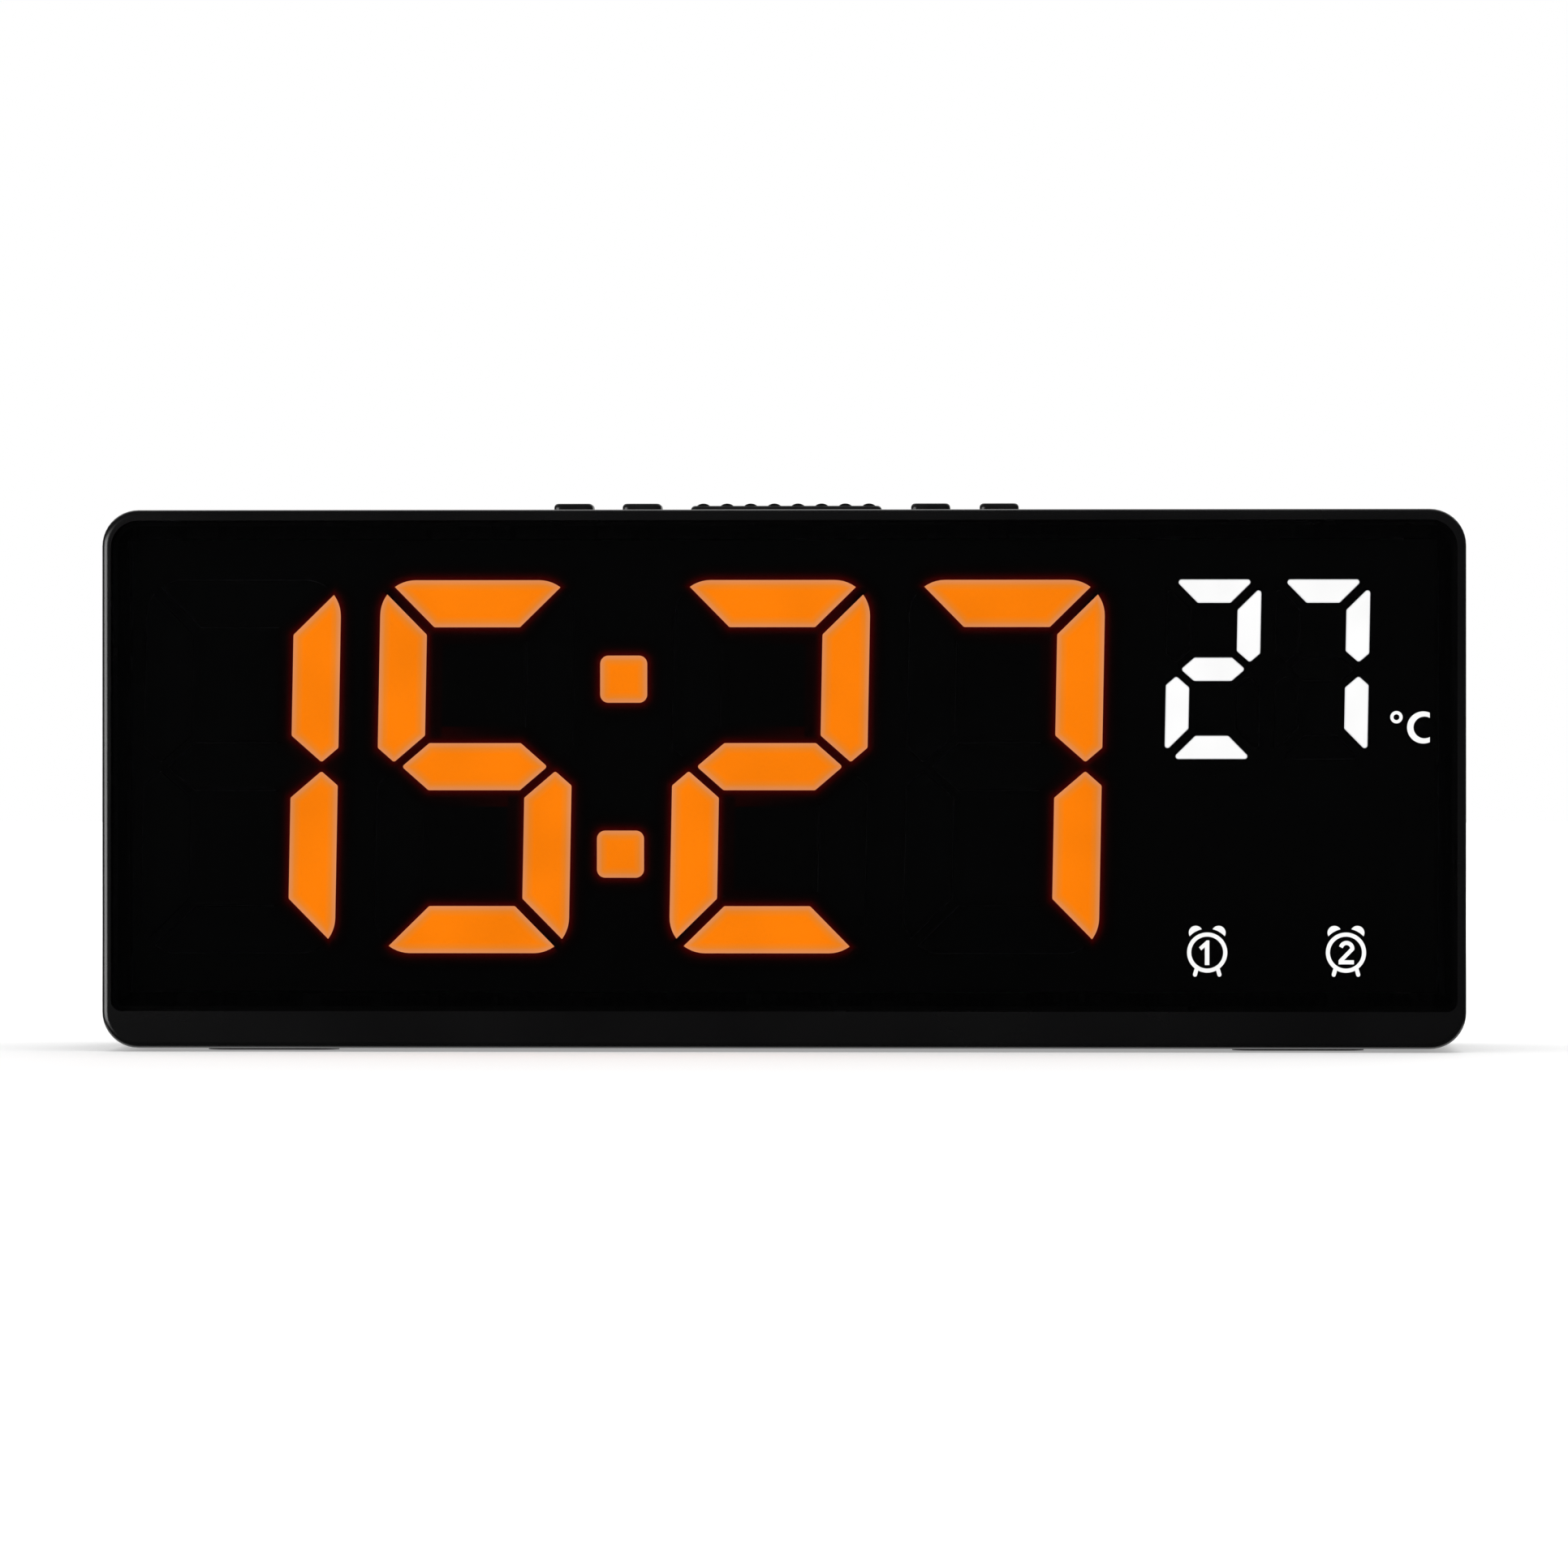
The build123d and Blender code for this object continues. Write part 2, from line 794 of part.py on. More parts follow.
# Hollow of the rear cover
with BuildPart() as cover_hollow:
    with BuildSketch(facing(frame_depth)):
        with Locations((0, case_mid_z)):
            RectangleRounded(cavity_width, cavity_height, cavity_corner)
    extrude(amount=-rear_foot_depth)
    split(bisect_by=rear(-wall), keep=Keep.BOTTOM)

# Inside of the rear cover: screw tubes, bay walls, key board hangers and rails, cut off in its wall
usb_board_v = usb_place[1] - usb_height / 2 - usb_board_thickness / 2
rail_middle = (usb_board_width + rail_width) / 2 - rail_bite
with BuildPart() as cover_inside:
    with BuildSketch(facing(board_back)):
        with Locations(*corners(case_boss_x, case_boss_inset)):
            Circle(cover_boss_radius)
    extrude(amount=-rear_foot_depth)
    with BuildSketch(rear(-bay_reach)):
        Rectangle(bay_length + 2 * bay_wall, bay_height + 2 * bay_wall)
    extrude(amount=bay_reach)
    with BuildSketch(rear(-wall / 2)):
        for side in (-1, 1):
            with Locations((usb_place[0] + side * rail_middle, usb_board_v)):
                Rectangle(rail_width, rail_height)
    extrude(amount=-(rail_length + wall / 2))
    with BuildSketch(level(key_board_top_z)):
        with Locations((-hanger_x, key_centre_depth), (hanger_x, key_centre_depth)):
            Circle(hanger_radius)
    extrude(amount=top_z - wall / 2 - key_board_top_z)
    split(bisect_by=rear(-wall / 2), keep=Keep.BOTTOM)

# The hinge line of the door is its own lower outer edge
hinge_v = -door_height / 2
ledge_corner = hypot(door_ledge, door_thickness + hook_skin)
toe_front = ledge_corner + hook_clearance
toe_back = toe_front + hook_toe
toe_foot_v = hinge_v - hook_reach
hook_swing = hypot(toe_back, hook_reach)
hook_places = [side * hook_place_share * door_length for side in (-1, 1)]

with BuildPart() as rear_cover:
    with BuildSketch(facing(frame_depth)):
        with Locations((0, case_mid_z)):
            RectangleRounded(case_width, case_height, case_corner)
    extrude(amount=-rear_foot_depth)
    split(bisect_by=rear_plane, keep=Keep.BOTTOM)
    fillet(rear_cover.faces().sort_by(Axis.Y)[-1].edges(), rear_edge_round)
    chamfer(rear_cover.faces().sort_by(Axis.Y)[0].edges(), parting_chamfer)
    add(cover_hollow.part, mode=Mode.SUBTRACT)
    with BuildSketch(facing(frame_depth)):
        with Locations((0, case_mid_z)):
            RectangleRounded(
                cavity_width + 2 * lip_thickness,
                cavity_height + 2 * lip_thickness,
                cavity_corner + lip_thickness,
            )
            RectangleRounded(cavity_width, cavity_height, cavity_corner, mode=Mode.SUBTRACT)
    extrude(amount=lip_length)
    add(cover_inside.part)
    # Screw passages: a close hole through the seat and a wider one for the head
    with BuildSketch(facing(board_back)):
        with Locations(*corners(case_boss_x, case_boss_inset)):
            Circle(case_shank_radius + hole_clearance)
    extrude(amount=-case_seat, mode=Mode.SUBTRACT)
    with BuildSketch(facing(case_seat_depth)):
        with Locations(*corners(case_boss_x, case_boss_inset)):
            Circle(case_head_radius + hole_clearance)
    extrude(amount=-rear_foot_depth, mode=Mode.SUBTRACT)
    # Battery bay, the rebate for its door, the slots for the hooks and the finger scoop
    with BuildSketch(rear(0)):
        Rectangle(bay_length, bay_height)
    extrude(amount=-bay_depth, mode=Mode.SUBTRACT)
    with BuildSketch(rear(0)):
        RectangleRounded(door_length + 2 * door_gap, door_height + 2 * door_gap, door_corner + door_gap)
    extrude(amount=-door_thickness, mode=Mode.SUBTRACT)
    with BuildSketch(rear(-door_thickness - hook_skin)):
        for place in hook_places:
            with Locations((place, -bay_height / 2)):
                Rectangle(hook_width + 2 * hook_clearance, 2 * bay_wall)
    extrude(amount=-(hook_swing + hook_clearance - door_thickness - hook_skin), mode=Mode.SUBTRACT)
    with BuildSketch(rear(0)):
        with Locations((0, door_height / 2)):
            Circle(scoop_radius)
    extrude(amount=-scoop_depth, mode=Mode.SUBTRACT)
    # Slots through the bay floor for the tails of the end contacts
    with BuildSketch(rear(-bay_depth)):
        for side, row in end_contacts.items():
            with Locations((side * (bay_length - contact_thickness) / 2, row)):
                Rectangle(contact_thickness + 2 * tail_clearance, tail_width + 2 * tail_clearance)
    extrude(amount=-bay_floor, mode=Mode.SUBTRACT)
    # Power inlet, and the grooves that its board rests in
    with BuildSketch(rear(0)):
        with Locations(usb_place):
            SlotOverall(usb_width + 2 * usb_cut_clearance, usb_height + 2 * usb_cut_clearance)
    extrude(amount=-wall, mode=Mode.SUBTRACT)
    with BuildSketch(rear(-wall)):
        with Locations((usb_place[0], usb_board_v + rail_clearance / 2)):
            Rectangle(usb_board_width + 2 * rail_clearance, usb_board_thickness + rail_clearance)
    extrude(amount=-rail_length, mode=Mode.SUBTRACT)
    # Sound holes and vent slots
    with BuildSketch(rear(0)):
        with Locations(sounder_place):
            Circle(sound_hole_radius)
            with PolarLocations(sound_ring_radius, sound_ring_count):
                Circle(sound_hole_radius)
        with Locations(vent_place):
            with GridLocations(0, vent_pitch, 1, vent_count):
                SlotOverall(vent_length, vent_width)
    extrude(amount=-wall, mode=Mode.SUBTRACT)
    # Key slots in the top and the holes for the key board screws
    with BuildSketch(level(top_z)):
        for place, width in key_row.values():
            with Locations((place, key_centre_depth)):
                RectangleRounded(
                    width + 2 * key_slot_clearance,
                    key_depth + 2 * key_slot_clearance,
                    key_corner + key_slot_clearance,
                )
    extrude(amount=-wall, mode=Mode.SUBTRACT)
    with BuildSketch(level(key_board_top_z)):
        with Locations((-hanger_x, key_centre_depth), (hanger_x, key_centre_depth)):
            Circle(hanger_shank_radius + thread_clearance)
    extrude(amount=hanger_hold + hole_clearance, mode=Mode.SUBTRACT)
    # Recesses for the feet
    foot_depths = (frame_depth + foot_front_gap + foot_width / 2, rear_foot_depth - foot_rear_inset)
    foot_places = [
        (side * (case_width / 2 - foot_inset), depth) for side in (-1, 1) for depth in foot_depths
    ]
    with BuildSketch(level(bottom_z)):
        with Locations(*foot_places):
            SlotOverall(foot_length + 2 * foot_clearance, foot_width + 2 * foot_clearance)
    extrude(amount=foot_thickness - foot_proud, mode=Mode.SUBTRACT)
save(rear_cover, "rear_cover")

# Rubber feet
with BuildPart() as rubber_feet:
    with BuildSketch(level(0)):
        with Locations(*foot_places):
            SlotOverall(foot_length, foot_width)
    extrude(amount=foot_thickness)
save(rubber_feet, "rubber_feet")

# Battery door: plate, latch tongue with grip ridges, and two hooks along its lower edge
with BuildPart() as battery_door:
    with BuildSketch(rear(0)):
        RectangleRounded(door_length, door_height, door_corner)
    extrude(amount=-door_thickness)
    with BuildSketch(rear(0)):
        for side in (-1, 1):
            with Locations((side * (latch_width + latch_slot) / 2, door_height / 2 - latch_length / 2)):
                Rectangle(latch_slot, latch_length)
    extrude(amount=-door_thickness, mode=Mode.SUBTRACT)
    with BuildSketch(rear(0)):
        with Locations((0, door_height / 2 - latch_length / 2)):
            with GridLocations(0, latch_ridge_pitch, 1, latch_ridge_count):
                SlotOverall(latch_width - 2 * latch_ridge_pitch, latch_ridge)
    extrude(amount=latch_ridge_height)
    leg_foot_v = -bay_height / 2 + hook_clearance
    with BuildSketch(rear(-door_thickness)):
        for place in hook_places:
            with Locations((place, leg_foot_v + hook_leg / 2)):
                Rectangle(hook_width, hook_leg)
    extrude(amount=-(toe_back - door_thickness))
    with BuildSketch(rear(-toe_front)):
        for place in hook_places:
            with Locations((place, (leg_foot_v + hook_leg + toe_foot_v) / 2)):
                Rectangle(hook_width, leg_foot_v + hook_leg - toe_foot_v)
    extrude(amount=-hook_toe)
save(battery_door, "battery_door")

# Cells: the middle one lies the other way round
cell_out = -(door_thickness + cell_door_gap + cell_radius)
with BuildPart() as cell:
    body_length = cell_length - nub_height
    Cylinder(cell_radius, body_length, align=(Align.CENTER, Align.CENTER, Align.MIN))
    chamfer(cell.edges().filter_by(GeomType.CIRCLE), cell_edge)
    with BuildSketch(Plane.XY.offset(body_length)):
        Circle(nub_radius)
    extrude(amount=nub_height)
    chamfer(cell.edges().group_by(Axis.Z)[-1], cell_edge)


def bay_axis(way, row, out_of_wall):
    # Along the bay from the wall that a cell's flat end faces, at a distance from that wall
    across = rear_plane.x_dir * way
    start = rear_point(-way * (bay_length / 2 - out_of_wall), row, cell_out)
    return Plane(origin=start, x_dir=rear_plane.z_dir, z_dir=across)


cell_start = contact_thickness + spring_room
with BuildPart() as battery_cells:
    for row, way in zip(cell_rows, cell_ways):
        add(bay_axis(way, row, cell_start).location * cell.part)
save(battery_cells, "battery_cells")


# Springs: conical coils between a contact plate and the flat end of a cell
def coil_point(turn):
    share = turn / spring_turns
    radius = spring_base_radius + (spring_tip_radius - spring_base_radius) * share
    climb = (spring_room - spring_wire) * share
    angle = 2 * pi * turn
    return Vector(radius * cos(angle), radius * sin(angle), spring_wire / 2 + climb)


def coil_tangent(turn):
    radius_rate = (spring_tip_radius - spring_base_radius) / spring_turns
    climb_rate = (spring_room - spring_wire) / spring_turns
    radius = spring_base_radius + radius_rate * turn
    angle = 2 * pi * turn
    return Vector(
        radius_rate * cos(angle) - 2 * pi * radius * sin(angle),
        radius_rate * sin(angle) + 2 * pi * radius * cos(angle),
        climb_rate,
    ).normalized()


quarter_count = 4 * spring_turns
with BuildPart() as coil:
    with BuildLine() as coil_line:
        for quarter in range(quarter_count):
            start = coil_point(quarter / 4)
            end = coil_point((quarter + 1) / 4)
            start_way = coil_tangent(quarter / 4)
            end_way = coil_tangent((quarter + 1) / 4)
            span = end - start
            both = start_way + end_way
            bend = 2 * (1 - start_way.dot(end_way))
            along = span.dot(both)
            arm = (sqrt(along**2 + bend * span.dot(span)) - along) / bend
            joint = (start + start_way * arm + end - end_way * arm) / 2
            TangentArc(start, joint, tangent=start_way)
            TangentArc(joint, end, tangent=end - end_way * arm - start - start_way * arm)
    with BuildSketch(Plane(origin=coil_point(0), z_dir=coil_tangent(0))):
        Circle(spring_wire / 2)
    sweep(path=coil_line.wire())
sample_count = 24
coil_samples = [coil_point(step / sample_count) for step in range(sample_count * spring_turns + 1)]
coil_least = min(
    (a - b).length
    for i, a in enumerate(coil_samples)
    for b in coil_samples[i + sample_count // 2 :]
)
print(f"battery spring: least gap between turns {coil_least - spring_wire:.2f} mm")
with BuildPart() as battery_springs:
    for row, way in zip(cell_rows, cell_ways):
        add(bay_axis(way, row, contact_thickness).location * coil.part)
save(battery_springs, "battery_springs")

# Contact plates on the end walls: two bridges, and two end plates with tails through the floor
with BuildPart() as battery_contacts:
    tail_end = bay_reach + tail_proud + cell_out
    for side, end_row in end_contacts.items():
        pair = [row for row in cell_rows if row != end_row]
        # On this plane x runs out of the bay and y along the rows, upwards where side is 1
        with BuildSketch(bay_axis(-side, 0, 0)):
            with Locations((0, side * end_row)):
                Rectangle(contact_side, contact_side)
            with Locations((0, side * sum(pair) / len(pair))):
                Rectangle(contact_side, contact_side + cell_pitch)
            with Locations((-tail_end / 2, side * end_row)):
                Rectangle(tail_end, tail_width)
        extrude(amount=contact_thickness)
save(battery_contacts, "battery_contacts")

# Power inlet: metal shell, contact tongue and small board
with BuildPart() as usb_socket:
    with BuildSketch(rear(-usb_recess)):
        with Locations(usb_place):
            SlotOverall(usb_width, usb_height)
            SlotOverall(usb_width - 2 * usb_shell, usb_height - 2 * usb_shell, mode=Mode.SUBTRACT)
    extrude(amount=-usb_length)
save(usb_socket, "usb_socket")
with BuildPart() as usb_tongue:
    with BuildSketch(rear(-usb_recess - usb_length)):
        with Locations(usb_place):
            SlotOverall(usb_width - 2 * usb_shell, usb_height - 2 * usb_shell)
    extrude(amount=usb_base_thickness)
    with BuildSketch(rear(-usb_recess - usb_length)):
        with Locations(usb_place):
            Rectangle(usb_tongue_width, usb_tongue_thickness)
    extrude(amount=usb_length - usb_tongue_gap)
save(usb_tongue, "usb_tongue")
with BuildPart() as usb_board:
    with BuildSketch(rear(-wall - usb_board_gap)):
        with Locations((usb_place[0], usb_board_v)):
            Rectangle(usb_board_width, usb_board_thickness)
    extrude(amount=-usb_board_depth)
save(usb_board, "usb_board")

# Key board and its switches
with BuildPart() as key_board:
    with BuildSketch(level(key_board_top_z)):
        with Locations((0, key_centre_depth)):
            Rectangle(key_board_length, key_board_depth)
        with Locations((-hanger_x, key_centre_depth), (hanger_x, key_centre_depth)):
            Circle(hanger_shank_radius + hole_clearance, mode=Mode.SUBTRACT)
    extrude(amount=-key_board_thickness)
save(key_board, "key_board")
stem_bore = stem_depth + key_travel + hole_clearance
with BuildPart() as key_switches:
    for place, width in key_row.values():
        with BuildSketch(level(key_board_top_z)):
            with Locations((place, key_centre_depth)):
                Rectangle(switch_side, switch_side)
        extrude(amount=switch_height)
    chamfer(key_switches.edges().group_by(Axis.Z)[-1], switch_edge)
    with BuildSketch(level(switch_top_z)):
        for place, width in key_row.values():
            with Locations((place, key_centre_depth)):
                Circle(stem_radius + stem_clearance)
    extrude(amount=-stem_bore, mode=Mode.SUBTRACT)
save(key_switches, "key_switches")

# Each key: a cap through its slot with a flange under the top, and the switch stem that it pushes
for name, (place, width) in key_row.items():
    ribbed = name == "snooze"
    crown_z = top_z + key_proud - (grip_height if ribbed else 0)
    with BuildPart() as key:
        with BuildSketch(level(flange_bottom_z)):
            with Locations((place, key_centre_depth)):
                RectangleRounded(width, key_depth, key_corner)
        extrude(amount=crown_z - flange_bottom_z)
        fillet(key.edges().group_by(Axis.Z)[-1], key_edge_round)
        if ribbed:
            grip_length = key_depth - 2 * key_edge_round
            with BuildSketch(facing(key_centre_depth - grip_length / 2)):
                with Locations((place, crown_z + grip_height - grip_radius)):
                    with GridLocations(grip_pitch, 0, grip_count, 1):
                        Circle(grip_radius)
            extrude(amount=-grip_length)
        with BuildSketch(level(flange_bottom_z)):
            with Locations((place, key_centre_depth)):
                Rectangle(width + 2 * key_flange_margin, key_depth + 2 * key_flange_margin)
        extrude(amount=key_flange)
    save(key, f"{name}_key")
    with BuildPart() as stem:
        with BuildSketch(level(flange_bottom_z)):
            with Locations((place, key_centre_depth)):
                Circle(stem_radius)
        extrude(amount=-(stem_rise + stem_depth))
    save(stem, f"{name}_stem")


# Parts on the back of the main board
def board_place(shares):
    return (shares[0] * board_width, case_mid_z + shares[1] * board_height)


def behind_wall(place):
    # The spot of the main board straight in front of a place on the rear wall
    spot = rear_point(*place, 0)
    return (spot.X, spot.Z)


with BuildPart() as controller_chip:
    with BuildSketch(facing(board_back)):
        with Locations(board_place(chip_place_shares)):
            Rectangle(chip_length, chip_width)
    extrude(amount=-chip_height)
    chamfer(controller_chip.faces().sort_by(Axis.Y)[-1].edges(), chip_edge)
    with BuildSketch(facing(board_back)):
        with Locations(board_place(chip_place_shares)):
            with GridLocations(chip_length / chip_pin_count, 0, chip_pin_count, 1):
                Rectangle(chip_pin_width, chip_width + 2 * chip_pin_reach)
    extrude(amount=-chip_pin_height)
save(controller_chip, "controller_chip")
with BuildPart() as clock_crystal:
    crystal_x, crystal_z = board_place(crystal_place_shares)
    crystal_depth = board_back + crystal_radius
    crystal_end = crystal_x - crystal_length / 2
    with BuildSketch(Plane((crystal_end, crystal_depth - case_depth / 2, crystal_z), z_dir=(1, 0, 0))):
        Circle(crystal_radius)
    extrude(amount=crystal_length)
    fillet(clock_crystal.edges(), crystal_edge)
save(clock_crystal, "clock_crystal")
with BuildPart() as smoothing_capacitor:
    with BuildSketch(facing(board_back)):
        with Locations(board_place(capacitor_place_shares)):
            Circle(capacitor_radius)
    extrude(amount=-capacitor_height)
    fillet(smoothing_capacitor.faces().sort_by(Axis.Y)[-1].edges(), capacitor_edge)
save(smoothing_capacitor, "smoothing_capacitor")
with BuildPart() as sounder:
    with BuildSketch(facing(board_back)):
        with Locations(behind_wall(sounder_place)):
            Circle(sounder_radius)
    extrude(amount=-sounder_height)
    fillet(sounder.faces().sort_by(Axis.Y)[-1].edges(), sounder_edge)
    with BuildSketch(facing(board_back + sounder_height)):
        with Locations(behind_wall(sounder_place)):
            Circle(sounder_hole_radius)
    extrude(amount=sounder_hole_depth, mode=Mode.SUBTRACT)
save(sounder, "sounder")

# Temperature sensor: a bead on two wires, behind the vent
sensor_x, sensor_z = behind_wall(vent_place)
with BuildPart() as temperature_sensor:
    with BuildSketch(facing(board_back)):
        with Locations((sensor_x, sensor_z)):
            with GridLocations(sensor_wire_spacing, 0, 2, 1):
                Circle(sensor_wire_radius)
    extrude(amount=-sensor_reach)
    with Locations((sensor_x, board_back + sensor_reach - case_depth / 2, sensor_z)):
        Sphere(sensor_radius)
save(temperature_sensor, "temperature_sensor")

# Plug headers for the leads and the ribbon of the key board
ribbon_depth = board_back + header_depth / 2
ribbon_header = (0, key_board_bottom_z - ribbon_drop - header_height / 2)
header_places = [board_place(battery_header_place_shares), board_place(power_header_place_shares)]
with BuildPart() as lead_headers:
    for place, width in (
        (header_places[0], header_width),
        (header_places[1], header_width),
        (ribbon_header, ribbon_width + 2 * header_wall),
    ):
        with BuildSketch(facing(board_back)):
            with Locations(place):
                Rectangle(width, header_height)
        extrude(amount=-header_depth)
save(lead_headers, "lead_headers")
with BuildPart() as key_ribbon:
    with BuildSketch(level(key_board_bottom_z)):
        with Locations((0, ribbon_depth)):
            Rectangle(ribbon_width, ribbon_thickness)
    extrude(amount=-ribbon_drop)
save(key_ribbon, "key_ribbon")


# Leads: from a place in the rear wall's plane, straight in, across, and into a header
def lead(start, header, across):
    begin = rear_point(*start)
    inward = begin - rear_plane.z_dir * lead_start
    header_back = board_back + header_depth - case_depth / 2
    turn = Vector(header[0] + across, header_back + lead_end, header[1])
    end = Vector(header[0] + across, header_back, header[1])
    with BuildPart() as wire:
        with BuildLine() as route:
            FilletPolyline(begin, inward, turn, end, radius=lead_bend)
        with BuildSketch(Plane(origin=begin, z_dir=rear_plane.z_dir)):
            Circle(lead_radius)
        sweep(path=route.wire())
    return wire.part


contact_mid = (bay_length - contact_thickness) / 2
battery_starts = [
    (side * contact_mid, row, -bay_reach - tail_proud) for side, row in end_contacts.items()
]
battery_wires = [
    lead(start, header_places[0], across)
    for start, across in zip(battery_starts, (-lead_spacing / 2, lead_spacing / 2))
]
with BuildPart() as battery_leads:
    for wire in battery_wires:
        add(wire)
save(battery_leads, "battery_leads")
power_wires = [
    lead(
        (usb_place[0] - across, usb_board_v, -wall - usb_board_gap - usb_board_depth),
        header_places[1],
        across,
    )
    for across in (-lead_spacing / 2, lead_spacing / 2)
]
with BuildPart() as power_leads:
    for wire in power_wires:
        add(wire)
save(power_leads, "power_leads")

print(f"case {case_width:.2f} x {case_depth:.2f} x {case_height:.2f} mm")
hinge_line = rear_point(0, hinge_v, 0)
print(f"door hinge through y {hinge_line.Y:.4f}, z {hinge_line.Z:.4f}")
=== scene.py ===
from math import acos, cos, pi, radians, sin

import bmesh
import bpy
import numpy as np
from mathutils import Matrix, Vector
from mathutils.geometry import tessellate_polygon


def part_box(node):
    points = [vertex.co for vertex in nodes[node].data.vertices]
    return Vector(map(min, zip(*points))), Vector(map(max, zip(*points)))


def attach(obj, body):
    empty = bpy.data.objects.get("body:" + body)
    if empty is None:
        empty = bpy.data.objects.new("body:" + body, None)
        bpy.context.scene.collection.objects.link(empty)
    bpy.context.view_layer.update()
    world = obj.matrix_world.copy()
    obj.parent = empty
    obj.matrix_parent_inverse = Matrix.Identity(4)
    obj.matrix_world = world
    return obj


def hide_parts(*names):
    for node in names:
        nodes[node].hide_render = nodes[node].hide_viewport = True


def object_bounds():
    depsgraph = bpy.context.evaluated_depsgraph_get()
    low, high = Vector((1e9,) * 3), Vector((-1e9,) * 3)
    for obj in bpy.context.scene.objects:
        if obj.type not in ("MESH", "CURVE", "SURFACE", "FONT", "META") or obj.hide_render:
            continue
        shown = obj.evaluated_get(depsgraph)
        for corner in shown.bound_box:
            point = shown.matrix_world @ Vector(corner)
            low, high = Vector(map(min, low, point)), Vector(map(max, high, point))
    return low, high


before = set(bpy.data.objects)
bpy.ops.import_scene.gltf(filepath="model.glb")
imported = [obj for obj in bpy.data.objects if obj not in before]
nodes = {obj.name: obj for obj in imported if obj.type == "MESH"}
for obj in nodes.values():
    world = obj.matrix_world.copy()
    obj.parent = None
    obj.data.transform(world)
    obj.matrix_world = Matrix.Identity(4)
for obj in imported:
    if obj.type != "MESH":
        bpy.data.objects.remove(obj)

cadLow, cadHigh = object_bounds()
scene = bpy.context.scene
scene.view_settings.view_transform = "Standard"
mm = 0.001
weld = 1e-6        # points nearer than this are one point


# Small helpers for node trees
def addNode(tree, kind, settings=None, inputs=None):
    made = tree.nodes.new(kind)
    for key, value in (settings or {}).items():
        setattr(made, key, value)
    for key, value in (inputs or {}).items():
        made.inputs[key].default_value = value
    return made


def newFinish(name):
    finish = bpy.data.materials.new(name)
    finish.use_nodes = True
    tree = finish.node_tree
    return finish, tree, tree.nodes["Principled BSDF"]


def objectNoise(tree, size, detail=2.0, stretch=(1, 1, 1)):
    # Noise over the piece's own coordinates, with features of about this size in metres
    place = addNode(tree, "ShaderNodeTexCoord")
    mapping = addNode(tree, "ShaderNodeMapping", inputs={"Scale": stretch})
    noise = addNode(tree, "ShaderNodeTexNoise", inputs={"Scale": 1 / size, "Detail": detail})
    tree.links.new(place.outputs["Object"], mapping.inputs["Vector"])
    tree.links.new(mapping.outputs["Vector"], noise.inputs["Vector"])
    return noise.outputs["Fac"]


noiseSpan = (0.3, 0.7)        # most of a noise value lies in here


def between(tree, value, low, high):
    # A noise value spread over a range
    span = {"From Min": noiseSpan[0], "From Max": noiseSpan[1], "To Min": low, "To Max": high}
    spread = addNode(tree, "ShaderNodeMapRange", inputs=span)
    tree.links.new(value, spread.inputs["Value"])
    return spread.outputs["Result"]


def twoTones(tree, value, first, second):
    mix = addNode(tree, "ShaderNodeMix", {"data_type": "RGBA"})
    mix.inputs["A"].default_value = (*first, 1)
    mix.inputs["B"].default_value = (*second, 1)
    tree.links.new(value, mix.inputs["Factor"])
    return mix.outputs["Result"]


def grainBump(tree, shader, height, depth, strength):
    bump = addNode(tree, "ShaderNodeBump", inputs={"Strength": strength, "Distance": depth})
    tree.links.new(height, bump.inputs["Height"])
    tree.links.new(bump.outputs["Normal"], shader.inputs["Normal"])


# Moulded plastics, rubber, tape and film: a fine grain, slow changes of sheen and two close tones
def moulded(name, look):
    finish, tree, shader = newFinish(name)
    broad = objectNoise(tree, look["patch"], 3.0)
    fine = objectNoise(tree, look["grain"], 2.0)
    tone = twoTones(tree, between(tree, broad, 0, 1), look["tone"], look["paler"])
    tree.links.new(tone, shader.inputs["Base Color"])
    tree.links.new(between(tree, broad, *look["rough"]), shader.inputs["Roughness"])
    shader.inputs["Specular IOR Level"].default_value = look["gloss"]
    grainBump(tree, shader, fine, look["depth"], look["bump"])
    return finish


